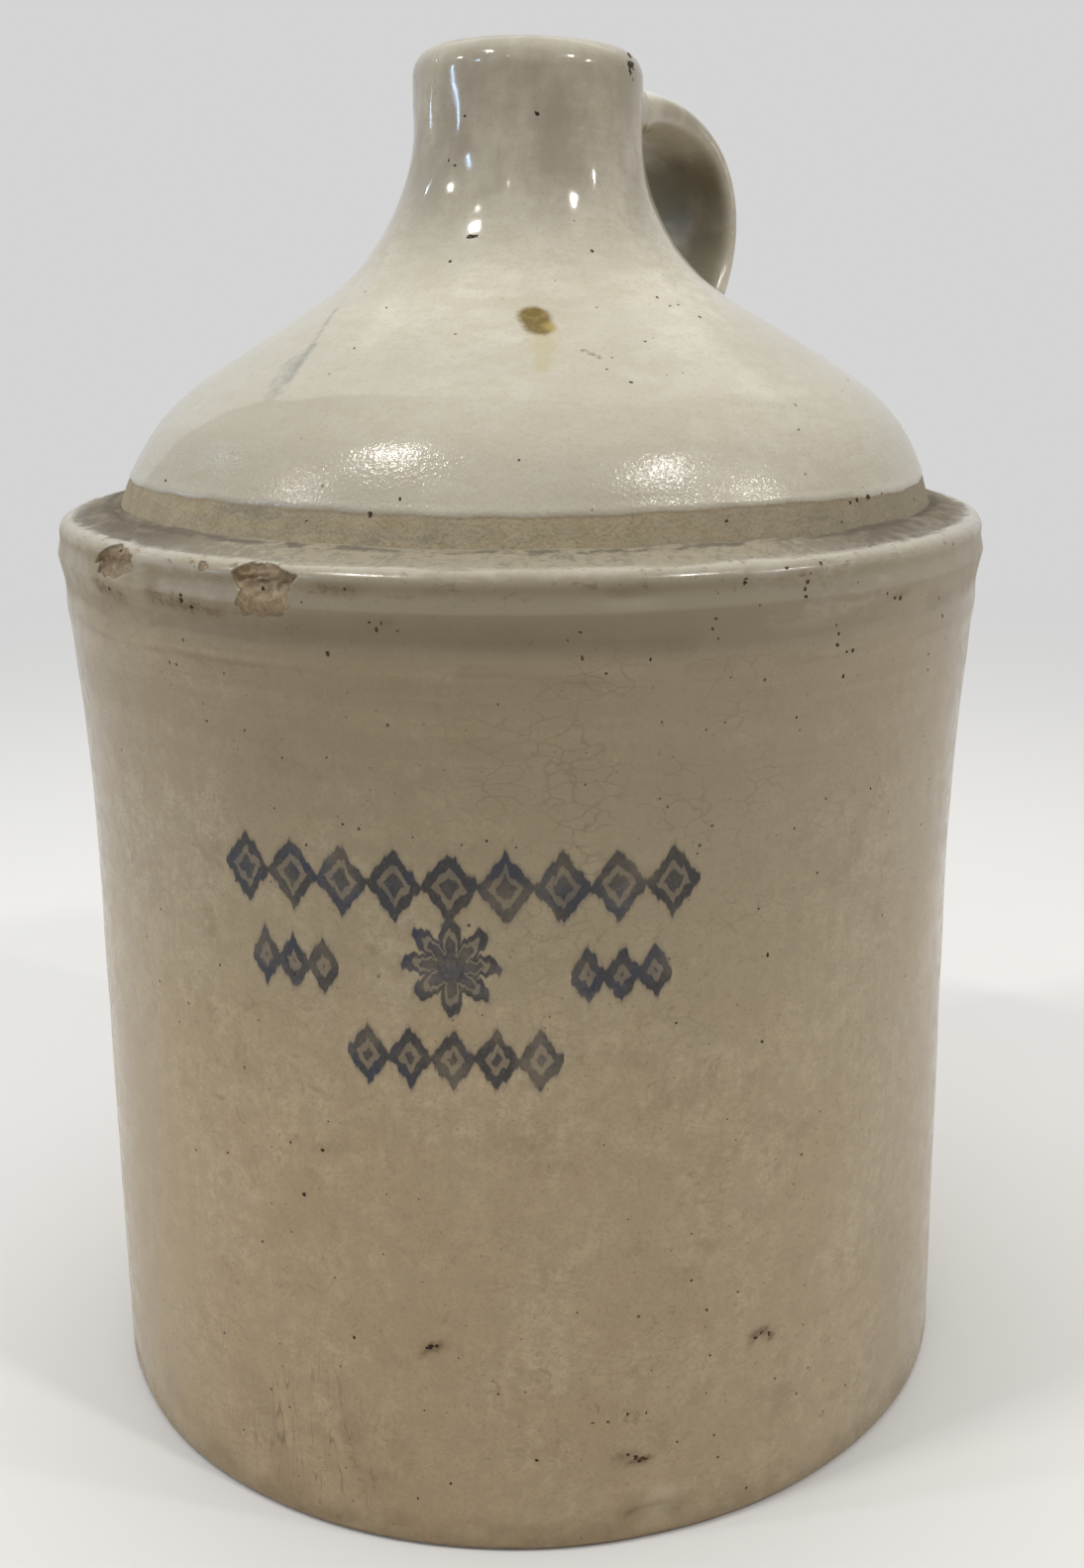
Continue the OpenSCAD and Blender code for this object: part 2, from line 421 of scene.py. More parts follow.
# Crock: the photograph's chips, as pixels of their corners and a depth in mm
CHIPS = [
    ([(93, 566), (107, 551), (122, 546), (132, 560), (130, 575), (116, 584), (98, 580)], 1.3),
    ([(228, 580), (254, 564), (278, 565), (297, 582), (288, 603), (264, 606), (242, 599)], 1.9),
    ([(239, 597), (288, 600), (292, 611), (285, 620), (271, 626), (257, 622), (246, 618),
      (237, 608)], 0.35),
    ([(197, 566), (206, 565), (208, 574), (199, 576)], 0.6),
]
# Dents under the glaze: a pixel, the reach in mm sideways and upwards, and a depth in mm, which
# is negative where clay was pushed up
DENTS = [((664, 1524), 7.5, 3.0, 2.0), ((666, 1511), 6.0, 2.0, -0.8), ((640, 602), 5.0, 1.6, 0.45)]
# Throwing rings of the crock: height in mm, how far each stands out, and its width
RINGS = [
    (217.6, -0.42, 2.0), (213.2, 0.30, 1.5), (206.8, -0.38, 3.2), (200.5, 0.14, 2.4),
    (194.6, -0.12, 2.6), (186.0, 0.10, 4.0), (150.0, 0.10, 9.0), (96.0, -0.10, 12.0),
]
# Wobble of the crock: strength in mm, most turns round it and pitch up it in mm, and a first seed
CROCK_WAVES = [(0.35, 3, 160), (0.10, 14, 26)]
CROCK_SEED = 3
# How far the rim is drawn in, and how near anything comes to the CAD's box at its side, in mm
RIM_ROOM = 0.3
BOX_GAP = 0.02
# How far the ledge is worn down, in mm
LEDGE_WEAR = 0.10
# Angles between a ring's points, away from the chips and at them, in degrees
COARSE_TURN = 0.9
FINE_TURN = 0.16
FINE_MARGIN = 1.2
# Chips: reach round a chip's middle, width of its steep edge, width over which it gets deeper,
# what stands for no chip nearby, all in mm, and a first seed
CHIP_REACH = 20.0
CHIP_WALL = 0.5
CHIP_DEEPENS = 3.0
NO_CHIP = -5.0
CHIP_SEED = 40
# Radius of the hole that the outline leaves at the axis, which a cap closes, in mm
AXIS_GAP = 3.0


def ring_angles(fine_spans):
    """Angles of a ring's points, closer together where the chips are."""
    angles = list(np.arange(0.0, 360.0, COARSE_TURN))
    for low, high in fine_spans:
        angles = [a for a in angles if not low <= a <= high]
        angles += list(np.arange(low, high, FINE_TURN))
    return np.array(sorted(angles))


def crock_outline():
    """The crock from the middle of its underside, up its wall, over the rim and down inside."""
    edge_r = BODY_R - FOOT_ROUND
    hollow_r = edge_r - FOOT_W
    throat_r = DOME_R - DOME_FOOT_W
    throat_z = SEAT_Z - THROAT_H
    seat = [(DOME_R, LEDGE_Z), (DOME_R, SEAT_Z), (throat_r, SEAT_Z), (throat_r, throat_z)]
    corner = arc((INNER_R - FLOOR_ROUND, FLOOR_T + FLOOR_ROUND), FLOOR_ROUND, 0, -90)
    return join(
        resample([(AXIS_GAP, FOOT_RECESS), (hollow_r, FOOT_RECESS)], 9),
        resample([(hollow_r, FOOT_RECESS), (hollow_r + FOOT_RECESS, 0), (edge_r, 0)], 1.5),
        resample(arc((edge_r, FOOT_ROUND), FOOT_ROUND, -90, 0), 0.7),
        resample([(BODY_R, FOOT_ROUND), *flare_line()], 1.9),
        resample(rim_line(), 0.42),
        resample(seat, 2.2),
        resample([(throat_r, throat_z), (INNER_R, throat_z - THROAT_TAPER),
                  (INNER_R, FLOOR_T + FLOOR_ROUND)], 6),
        resample(corner, 3),
        resample([(INNER_R - FLOOR_ROUND, FLOOR_T), (AXIS_GAP, FLOOR_T)], 9))


def round_rim(angles, middle):
    """Distance in mm round the rim from the angle middle to each angle in degrees."""
    return ((angles - middle + 180) % 360 - 180) * math.pi / 180 * RIM_R


def chip_fields(turned, angles):
    """Depth cut by the chips, and how far inside a chip each point lies, both in mm."""
    cut = np.zeros((len(turned.along), len(angles)))
    inside = np.full(cut.shape, NO_CHIP)
    for number, (pixels, depth) in enumerate(CHIPS):
        corners = [seen_at(pixel) for pixel in pixels]
        middle = bearing(np.mean(corners, 0)) % 360
        flat = [(round_rim(bearing(c), middle), turned.along_at(c)) for c in corners]
        u, v = np.meshgrid(round_rim(angles, middle), turned.along)
        near = (abs(u) < CHIP_REACH) & (abs(v - np.mean([p[1] for p in flat])) < CHIP_REACH)
        random = np.random.default_rng(CHIP_SEED + number)
        u, v = u[near], v[near]
        for _ in range(5):
            wave = random.normal(size=2) * 1.6
            shove = 0.22 * np.sin(wave[0] * u + wave[1] * v + random.uniform(0, 6))
            u, v = u + shove, v + 0.8 * shove
        depth_in = polygon_depth(u, v, flat)
        facets = 0.16 * np.sin(1.7 * u + 0.6 * v + number) + 0.12 * np.sin(2.3 * v - 1.1 * u)
        bite = np.clip(depth_in / CHIP_WALL, 0, 1) * (
            depth * 0.55 + facets * depth * 0.5 + np.clip(depth_in, 0, CHIP_DEEPENS) * depth * 0.22)
        cut[near] = np.maximum(cut[near], bite)
        inside[near] = np.maximum(inside[near], depth_in)
    return cut, inside


def dent_depth(points):
    """Depth in mm of the dents at each point, in the points' own order."""
    total = np.zeros(len(points))
    for pixel, wide, high, depth in DENTS:
        gap = points - seen_at(pixel)
        across = np.hypot(gap[:, 0], gap[:, 1]) / wide
        total += depth * np.exp(-(across**2) - (gap[:, 2] / high) ** 2)
    return total


# Brown stains on the crock: pixels of a stroke, its width in pixels and its strength
CROCK_STAINS = [
    ([(318, 594), (357, 597)], 9, 1.0),
    ([(98, 590), (124, 606)], 13, 0.9),
    ([(150, 600), (196, 613)], 12, 1.0),
    ([(190, 611), (222, 618)], 11, 0.9),
    ([(228, 612), (240, 622)], 7, 0.5),
    ([(372, 636), (392, 630)], 7, 0.6),
    ([(436, 597), (444, 600)], 6, 0.6),
    ([(618, 598), (634, 601)], 7, 0.8),
    ([(150, 585), (150, 600)], 14, 0.35),
    ([(470, 678), (610, 688)], 9, 0.35),
    ([(700, 672), (830, 662)], 9, 0.35),
    ([(720, 650), (860, 640)], 7, 0.3),
    ([(200, 668), (420, 690)], 10, 0.25),
    ([(888, 598), (915, 600)], 5, 0.7),
    ([(940, 603), (956, 602)], 5, 0.6),
    ([(805, 590), (818, 588)], 4, 0.8),
    ([(320, 1158), (346, 1158)], 8, 0.45),
    ([(625, 1467), (650, 1471)], 7, 0.9),
    ([(300, 1518), (360, 1530)], 10, 0.5),
    ([(500, 1545), (640, 1540)], 9, 0.4),
    ([(175, 1400), (232, 1465)], 22, 0.35),
    ([(250, 1390), (300, 1500)], 26, 0.3),
    ([(340, 1400), (380, 1500)], 20, 0.3),
    ([(762, 1346), (778, 1344)], 6, 0.9),
    ([(638, 1525), (660, 1529), (684, 1524)], 6, 1.3),
    ([(757, 1351), (763, 1345), (771, 1343), (779, 1348)], 6, 1.5),
    ([(428, 1362), (437, 1357), (447, 1356)], 6, 1.5),
    ([(630, 1471), (653, 1472)], 6, 1.4),
    ([(436, 1360), (448, 1355)], 7, 0.9),
    ([(100, 612), (300, 640)], 16, 0.45),
    ([(300, 640), (500, 650)], 12, 0.45),
    ([(500, 648), (700, 650)], 14, 0.5),
]


def make_crock(glaze):
    chip_spans = []
    for pixels, _ in CHIPS:
        turns = [bearing(seen_at(pixel)) % 360 for pixel in pixels]
        chip_spans.append((min(turns) - FINE_MARGIN, max(turns) + FINE_MARGIN))
    angles = ring_angles(merged(chip_spans))
    turned = Turned(crock_outline(), angles)
    seat = turned.along_at((DOME_R, 0, LEDGE_Z))
    outer = (turned.along > turned.along_at((BODY_R - FOOT_ROUND, 0, 0.0))) & (turned.along < seat)
    inside = turned.along > seat
    cut, in_chip = chip_fields(turned, angles)
    upper = np.clip((turned.z - (LEDGE_Z - RIM_BAND - FLARE_H)) / FLARE_H, 0, 1)
    wobble = unevenness(turned, CROCK_SEED, CROCK_WAVES) * (1 - 0.7 * upper)
    room = RIM_ROOM * upper**4
    offset = np.where(outer[:, None], wobble + ring_rise(turned.z, RINGS) - room - cut, 0.0)
    foot = np.clip(turned.z / FOOT_ROUND, 0, 1)
    offset = np.where(turned.z < LEDGE_Z - 40, offset * foot, offset)
    ledge = bump_at(turned.z, LEDGE_Z, 0.6) * outer[:, None]
    plain = turned.points(np.zeros(cut.shape))
    offset = offset - dent_depth(plain).reshape(cut.shape) * outer[:, None]
    offset -= ledge * LEDGE_WEAR * (1 + ripple(turned.angle, turned.r * 4, 9, turns=40, pitch=20))
    points = turned.points(np.minimum(offset, np.maximum(0.0, RIM_R - turned.r - BOX_GAP)))
    faces = grid_faces(*cut.shape) + end_caps(*cut.shape)
    crock = add_piece("crock", points, faces, glaze, ["crock_body"])
    set_field(crock, "chip", in_chip)
    set_field(crock, "inside", np.repeat(inside, len(angles)))
    set_field(crock, "stain", stroke_share(points, CROCK_STAINS))
    return crock


def merged(spans):
    """Spans of angles, with those that overlap made one."""
    out = []
    for low, high in sorted(spans):
        if out and low <= out[-1][1]:
            out[-1] = (out[-1][0], max(high, out[-1][1]))
        else:
            out.append((low, high))
    return out


# Dome: how far it stands off the axis to the photograph's right, by height, in mm
DOME_LEAN = [
    (218.0, 0.5), (228.0, 0.9), (250.0, 2.1), (270.0, 1.2), (285.0, 0.5), (305.0, 1.2),
    (332.0, 1.35),
]
# Its rings and its wobble, given like the crock's
DOME_RINGS = [(243, 0.10, 3), (249, -0.10, 3), (262, 0.12, 4), (276, -0.10, 5)]
DOME_WAVES = [(0.30, 3, 110), (0.09, 12, 22)]
DOME_SEED = 21
# The glaze's thickness at its lower edge and its bead there, how far the dome is drawn in to
# make room for both, and how far the lip dips in places, in mm
GLAZE_T = 0.22
GLAZE_BEAD = 0.10
DOME_ROOM = 0.25
LIP_DIP = 0.35
# Height above the glaze's edge up to which the dome's points lie close together, in mm
FINE_ABOVE = 5.0
# Depth below the lip at which the brown slip inside begins, in mm
SLIP_DROP = 7.0
# Stains on the dome: pixels of a stroke, its width in pixels and its strength
SMEARS = [
    ([(339, 307), (326, 326), (314, 345)], 6, 0.9),
    ([(314, 345), (300, 363), (288, 381)], 9, 1.0),
    ([(293, 357), (279, 370), (271, 390)], 7, 0.85),
    ([(298, 358), (284, 376), (274, 394)], 20, 0.50),
    ([(334, 373), (344, 369)], 9, 0.40),
    ([(226, 418), (200, 440)], 8, 0.35),
]
# Where the dome's glaze is thinner and browner: corners of an area, as pixels
THIN_GLAZE = [
    (144, 483), (159, 463), (180, 440), (203, 426), (234, 411), (266, 401), (301, 401),
    (341, 395), (420, 397), (560, 402), (700, 410), (700, 560), (130, 560),
]
BROWN_SPOT = [([(538, 317), (545, 329)], 19, 1.0)]
YELLOW_DRIP = [([(549, 336), (550, 352)], 22, 0.9), ([(549, 350), (548, 370)], 14, 0.9)]
DOME_STAINS = [
    ([(585, 354), (606, 361)], 6, 1.1),
    ([(497, 331), (508, 329)], 3, 0.5),
    ([(355, 349), (360, 350)], 3, 0.6),
    ([(160, 480), (175, 484)], 4, 0.5),
]


def dome_outline():
    """The dome's closed section: foot, outside, lip, bore and inside."""
    line = dome_line()
    inner = dome_line(-DOME_WALL, THROAT_SLOPE)[::-1]
    edge = arc((BORE_R + LIP_INNER, JUG_H - LIP_INNER), LIP_INNER, 90, 180, 8)
    split = int(np.argmax(line[:, 1] > GLAZE_LINE + FINE_ABOVE))
    return join(
        resample([(DOME_R, SEAT_Z), (DOME_R, LEDGE_Z), line[0]], 1.0),
        resample(line[:split + 1], 0.45),
        resample(line[split:], 1.4),
        resample([line[-1], *lip_line()], 0.7),
        resample([lip_line()[-1], *edge], 0.8),
        resample([edge[-1], (BORE_R, JUG_H - BORE_L), inner[0]], 4),
        resample(inner, 6),
        resample([inner[-1], (DOME_R - DOME_FOOT_W, SEAT_Z)], 4))


def dome_lean(z):
    heights, leans = np.transpose(DOME_LEAN)
    return np.interp(z, heights, leans)


def pixels_inside(points, corners):
    """How many pixels inside an area of the photograph each point on the near side lies."""
    away = points - EYE
    depth = away @ VIEW_FORWARD
    x = CENTRE_PX[0] + FOCAL_PX * (away @ VIEW_RIGHT) / depth
    y = CENTRE_PX[1] - FOCAL_PX * (away @ VIEW_UP) / depth
    return np.where(points[:, :2] @ EYE[:2] > 0, polygon_depth(x, y, corners), -99.0)


def make_dome(glaze):
    angles = np.arange(0.0, 360.0, COARSE_TURN)
    outline = dome_outline()
    turned = Turned(outline, angles)
    shape = (len(outline), len(angles))
    lip = turned.along_at((BORE_R + LIP_INNER, 0, JUG_H))
    outer = (turned.along < lip)[:, None] & (turned.z > LEDGE_Z)
    inside = turned.along > turned.along_at((BORE_R, 0, JUG_H - SLIP_DROP))
    upper = np.clip((turned.z - LEDGE_Z) / 12, 0, 1)
    top = np.clip((JUG_H - turned.z) / 6, 0, 1)
    above = turned.z - glaze_line(turned.angle)
    uneven = unevenness(turned, DOME_SEED, DOME_WAVES) + ring_rise(turned.z, DOME_RINGS)
    glaze_edge = GLAZE_T * np.clip(above / 0.5, 0, 1) + GLAZE_BEAD * bump_at(above, 1.1, 0.8)
    offset = np.where(outer, uneven * upper * top + glaze_edge * top - DOME_ROOM * top, 0.0)
    lip_wave = 0.6 + 0.4 * ripple(turned.angle, 0 * turned.z, 25, turns=5)
    offset -= np.where(outer, LIP_DIP * bump_at(turned.z, JUG_H, 2.5) * lip_wave, 0.0)
    points = turned.points(offset, dome_lean(turned.z))
    faces = grid_faces(*shape, True)
    dome = add_piece("dome", points, faces, glaze, ["shoulder_dome"])
    set_field(dome, "inside", np.repeat(inside, len(angles)))
    set_field(dome, "above_band", np.broadcast_to(np.where(outer, above, 5.0), shape))
    set_field(dome, "thin", np.clip(pixels_inside(points, THIN_GLAZE) / 10, -1, 1))
    for name, strokes in (("smear", SMEARS), ("spot", BROWN_SPOT), ("drip", YELLOW_DRIP),
                          ("stain", DOME_STAINS)):
        set_field(dome, name, stroke_share(points, strokes))
    return dome


def glaze_line(angle):
    """Height at which the dome's glaze stops, which wanders a little round the jug."""
    return GLAZE_LINE + 0.35 * ripple(angle, 0 * angle, 31, turns=9) + 0.12 * np.sin(37 * angle)


# Luting: clay smoothed from the dome's foot down over the ledge, in mm
LUTE_W = 8.6
LUTE_H = 2.2
LUTE_CROWN = 0.35
LUTE_SUNK = 0.27
LUTE_CREASE = 0.55
# Rows of points across it
LUTE_ROWS = 22


def make_luting(clay):
    angles = np.arange(0.0, 360.0, COARSE_TURN / 2)
    share = np.linspace(0, 1, LUTE_ROWS)
    up = LUTE_H * share + LUTE_CROWN * np.sin(math.pi * share)
    out = LUTE_W * (1 - share)
    face = np.column_stack([DOME_R - up / math.tan(math.radians(FOOT_SLOPE)) + out, LEDGE_Z + up])
    hidden = [(DOME_R - 2.5, LEDGE_Z + LUTE_H * 0.8), (DOME_R - 2.5, LEDGE_Z - 1.6),
              (DOME_R + LUTE_W - 1.5, LEDGE_Z - 1.6), (DOME_R + LUTE_W + 1.0, LEDGE_Z - 1.1)]
    outline = np.concatenate([face, hidden])
    turned = Turned(outline, angles)
    shown = np.zeros((len(outline), 1))
    shown[:LUTE_ROWS, 0] = 1.0 + 0.9 * (1 - share) ** 4
    worn = (0.16 * ripple(turned.angle, turned.r * 2, 51, waves=24, turns=22)
            + 0.09 * ripple(turned.angle, turned.r * 6, 52, waves=30, turns=120, pitch=12))
    creased = np.clip(0.4 + ripple(turned.angle, 0 * turned.z, 53, waves=16, turns=18), 0, 1)
    crease = LUTE_CREASE * bump_at(turned.r, DOME_R + 0.4, 0.9) * creased
    points = turned.points(shown * (worn - LUTE_SUNK - crease))
    faces = grid_faces(len(outline), len(angles), True)
    return add_piece("luting", points, faces, clay, ["shoulder_luting"])


# Handle: powers that square off its section and widen its ends, and numbers of points
SECTION_POWER = 0.78
SPREAD_POWER = 3.0
RING_SIDES = 72
STRAP_STEPS = 96
LUTE_STEPS = 14
# A height on the cone's straight part, from which the handle's foot is reckoned, in mm
CONE_Z = 254.5
# How far the smoothed clay runs along the strap and out over the dome, in mm
UPPER_REACH, UPPER_SPREAD = 9.0, 7.0
LOWER_REACH, LOWER_SPREAD = 7.0, 6.0
# How far the strap runs on into the dome, and how far in its meeting with it is sought, in mm
BURIED = 5.0
SOUGHT = 12.0
# Shallow finger grooves along the strap's outer face: place across it and width, in mm
GROOVES = [(5.5, 3.2), (-5.0, 3.4)]
GROOVE_DEPTH = 0.55
# Direction of each point round the strap's section; its sine is below 0 on the inner face
RING_TURN = 2 * math.pi * (np.arange(RING_SIDES) + 0.5) / RING_SIDES


def handle_path():
    """Four control points of the strap's path, in its own plane."""
    line = dome_line()
    low = line[np.argmin(abs(line[:, 1] - CONE_Z))]
    foot_z = low[1] + (low[0] - FOOT_R) * math.tan(math.radians(CONE_TILT))
    root = np.array([NECK_R, JUG_H - ROOT_DROP])
    foot = np.array([FOOT_R, foot_z])
    return np.array([root, root + (ROOT_RUN, ROOT_RISE),
                     foot + FOOT_RUN * np.array([cosd(HANDLE_LEAN), sind(HANDLE_LEAN)]), foot])


PATH = handle_path()


def path_place(t):
    if t < 0:
        return PATH[0] + 3 * t * (PATH[1] - PATH[0])
    if t > 1:
        return PATH[3] + 3 * (t - 1) * (PATH[3] - PATH[2])
    return ((1 - t) ** 3 * PATH[0] + 3 * (1 - t) ** 2 * t * PATH[1]
            + 3 * (1 - t) * t**2 * PATH[2] + t**3 * PATH[3])


def path_heading(t):
    s = min(max(t, 0.0), 1.0)
    run = ((1 - s) ** 2 * (PATH[1] - PATH[0]) + 2 * (1 - s) * s * (PATH[2] - PATH[1])
           + s**2 * (PATH[3] - PATH[2]))
    return run / np.linalg.norm(run)


def squared_off(x):
    return np.sign(x) * abs(x) ** SECTION_POWER


def strap_ring(t, shrink=0.0):
    """One ring of the strap: a squarish oval with shallow finger grooves on its outer face."""
    s = min(max(t, 0.0), 1.0)
    end = abs(2 * s - 1) ** SPREAD_POWER
    half_w = (STRAP_W + (STRAP_END_W - STRAP_W) * end) / 2 - shrink
    half_t = (STRAP_T + ((ROOT_T if s < 0.5 else FOOT_T) - STRAP_T) * end) / 2 - shrink
    across = half_w * squared_off(np.cos(RING_TURN))
    rise = half_t * squared_off(np.sin(RING_TURN))
    outer = np.clip(np.sin(RING_TURN), 0, 1)
    groove = outer * sum(bump_at(across, *place) for place in GROOVES) * GROOVE_DEPTH
    rise = rise - groove * (1 - end)
    across = across + 0.25 * math.sin(5.1 * t + 0.4)
    rise = rise + 0.18 * np.sin(3.2 * t * math.pi + 0.12 * across)
    centre, ahead = path_place(t), path_heading(t)
    return np.column_stack([centre[0] - ahead[1] * rise, across, centre[1] + ahead[0] * rise])


def onto_dome(points, lift):
    """The same points moved level to the dome's surface, and then out of it by lift in mm."""
    out = points.copy()
    for i, (x, y, z) in enumerate(points):
        x0, y0 = dome_lean(z) * SIDE[:2]
        turn = math.atan2(y - y0, x - x0)
        outwards, upwards = outline_normal(z)
        r = outline_radius(z) - 0.1 + lift * outwards
        out[i] = (x0 + r * math.cos(turn), y0 + r * math.sin(turn), z + lift * upwards)
    return out


def dome_gap(points):
    """How far outside the dome or neck each point is, roughly."""
    lean = dome_lean(points[:, 2])
    r = np.hypot(points[:, 0] - lean * SIDE[0], points[:, 1] - lean * SIDE[1])
    return r - outline_radius(points[:, 2])


def meeting_share(inner, outer):
    """For each line along the strap, the share of the path at which it meets the dome."""
    low = np.full(RING_SIDES, inner)
    high = np.full(RING_SIDES, outer)
    for _ in range(22):
        middle = (low + high) / 2
        outside = dome_gap(strap_points(middle)) > 0
        high = np.where(outside, middle, high)
        low = np.where(outside, low, middle)
    return high


def strap_points(shares, shrink=0.0):
    """One point on each line along the strap, at that line's share of the path."""
    return np.array([strap_ring(t, shrink)[i] for i, t in enumerate(shares)])


def make_lute(name, node, glaze, meet, direction, pace, reach, spread):
    """Clay smoothed from the strap out onto the dome: a fillet all round the root."""
    index = np.arange(RING_SIDES)
    run = direction * reach / pace
    start = strap_points(meet + run)
    corner = strap_points(meet)
    away = corner - corner.mean(0)
    away /= np.linalg.norm(away, axis=1)[:, None]
    random = ripple(2 * math.pi * index / RING_SIDES, 0 * index, 61, turns=7)
    foot = onto_dome(corner + away * (spread * (1 + 0.18 * random))[:, None], -0.35)
    rows = []
    for share in np.linspace(0, 1, LUTE_STEPS + 1):
        rows.append((1 - share) ** 2 * start + 2 * share * (1 - share) * corner + share**2 * foot)
    rows += [onto_dome(corner, -2.0), strap_points(meet, 1.5), strap_points(meet + run * 0.7, 1.2)]
    points = np.concatenate(rows)
    faces = grid_faces(len(rows), RING_SIDES, True)
    if direction > 0:
        faces = [face[::-1] for face in faces]
    return add_piece(name, points, faces, glaze, [node])


def make_handle(glaze):
    root_pace = 3 * np.linalg.norm(PATH[1] - PATH[0])
    foot_pace = 3 * np.linalg.norm(PATH[3] - PATH[2])
    shares = np.linspace(-BURIED / root_pace, 1 + BURIED / foot_pace, STRAP_STEPS)
    points = np.concatenate([strap_ring(t) for t in shares])
    faces = grid_faces(STRAP_STEPS, RING_SIDES) + end_caps(STRAP_STEPS, RING_SIDES)
    handle = add_piece("handle", points, faces, glaze, ["handle_strap"])
    # Which face of the strap each point is on: above 0 on the inner face, which gets painted shade,
    # and below 0 on the outer face, which gets painted light
    underside_shade = np.clip(-np.sin(RING_TURN) * 1.4, -1, 1)
    set_field(handle, "underside_shade", np.tile(underside_shade, STRAP_STEPS))
    upper = meeting_share(-SOUGHT / root_pace, 0.3)
    lower = meeting_share(1 + SOUGHT / foot_pace, 0.7)
    make_lute("handle_root", "handle_upper_lute", glaze, upper, 1, root_pace,
              UPPER_REACH, UPPER_SPREAD)
    make_lute("handle_foot", "handle_lower_lute", glaze, lower, -1, foot_pace,
              LOWER_REACH, LOWER_SPREAD)


# Materials
def operator(operation):
    """A Python operator that adds a math node."""
    return lambda *values: values[0].shader.math(operation, *values)


class Value:
    """A number, place or colour in a material's tree, which takes Python's operators."""

    __add__ = __radd__ = operator("ADD")
    __sub__ = operator("SUBTRACT")
    __mul__ = operator("MULTIPLY")
    __truediv__ = operator("DIVIDE")
    __gt__ = operator("GREATER_THAN")
    __lt__ = operator("LESS_THAN")
    __abs__ = operator("ABSOLUTE")

    def __init__(self, shader, socket):
        self.shader, self.socket = shader, socket

    def __rsub__(self, other):
        return self.shader.math("SUBTRACT", other, self)

    def ramp(self, low, high):
        """0 at low, 1 at high, and smooth between; low may be the larger."""
        ends = (low, high, 0.0, 1.0) if low < high else (high, low, 1.0, 0.0)
        node = self.shader.add("MapRange")
        node.interpolation_type = "SMOOTHSTEP"
        for socket, value in zip(node.inputs, (self, *ends)):
            self.shader.put(socket, value)
        return Value(self.shader, node.outputs[0])


def largest(first, *others):
    for other in others:
        first = first.shader.math("MAXIMUM", first, other)
    return first


class Shader:
    """A material whose nodes are added one by one, with places in mm."""

    def __init__(self, name):
        self.material = bpy.data.materials.new(name)
        self.material.use_nodes = True
        self.tree = self.material.node_tree
        self.surface = self.tree.nodes["Principled BSDF"]
        place = self.add("TexCoord").outputs["Object"]
        self.place = self.vector("MULTIPLY", place, (1 / MM, 1 / MM, 1 / MM))

    def put(self, socket, value):
        """Links a socket to a value of the tree, or sets it to a number or colour."""
        if isinstance(value, Value):
            value = value.socket
        if isinstance(value, bpy.types.NodeSocket):
            self.tree.links.new(value, socket)
        elif socket.type == "RGBA":
            socket.default_value = (*value, 1.0)
        else:
            socket.default_value = value

    def add(self, kind, **sockets):
        """A new node, with its sockets put by name."""
        node = self.tree.nodes.new("ShaderNode" + kind)
        for name, value in sockets.items():
            self.put(node.inputs[name], value)
        return node

    def operate(self, kind, operation, values):
        node = self.add(kind)
        node.operation = operation
        for socket, value in zip(node.inputs, values):
            self.put(socket, value)
        return node

    def math(self, operation, *values):
        return Value(self, self.operate("Math", operation, values).outputs[0])

    def vector(self, operation, *values):
        node = self.operate("VectorMath", operation, values)
        return Value(self, node.outputs["Value" if operation == "DISTANCE" else "Vector"])

    def hypot(self, x, y):
        return self.math("SQRT", x * x + y * y)

    def stretched(self, stretch):
        return self.vector("MULTIPLY", self.place, stretch)

    def noise(self, size, detail=3.0, rough=0.55, stretch=None, twist=0.0):
        """Noise whose largest blots are about size mm across, before any stretch."""
        node = self.add("TexNoise", Vector=self.stretched(stretch) if stretch else self.place,
                        Scale=1 / size, Detail=detail, Roughness=rough, Distortion=twist)
        return Value(self, node.outputs["Fac"])

    def cells(self, size, feature="F1", place=None):
        """Distance and colour of a random net of cells about size mm across."""
        node = self.add("TexVoronoi", Vector=place or self.place, Scale=1 / size)
        node.feature = feature
        return Value(self, node.outputs[0]), Value(self, node.outputs[1])

    def mix(self, share, under, over):
        node = self.add("Mix")
        node.data_type = "RGBA"
        for number, value in ((0, share), (6, under), (7, over)):
            self.put(node.inputs[number], value)
        return Value(self, node.outputs[2])

    def layered(self, colour, *layers):
        """A colour with a share of each layer's own laid over it in turn."""
        for share, over in layers:
            colour = self.mix(share, colour, over)
        return colour

    def field(self, name):
        """The number that a piece carries at every point under this name."""
        node = self.add("Attribute")
        node.attribute_name = name
        return Value(self, node.outputs["Fac"])

    def near(self, pixel, reach):
        """1 at the place seen at a pixel, fading to 0 at reach mm from it."""
        return self.vector("DISTANCE", self.place, tuple(seen_at(pixel))).ramp(reach, reach * 0.25)

    def axes(self, place=None):
        node = self.add("SeparateXYZ", Vector=place or self.place)
        return [Value(self, output) for output in node.outputs]

    def bump(self, height, distance):
        """Bumps of a height field whose full range stands for distance mm."""
        node = self.add("Bump", Strength=1.0, Distance=distance * MM, Height=height)
        self.put(self.surface.inputs["Normal"], node.outputs[0])

    def finish(self, colour, roughness, **fixed):
        self.put(self.surface.inputs["Base Color"], colour)
        self.put(self.surface.inputs["Roughness"], roughness)
        for name, value in fixed.items():
            self.put(self.surface.inputs[name.replace("_", " ")], value)
        return self.material


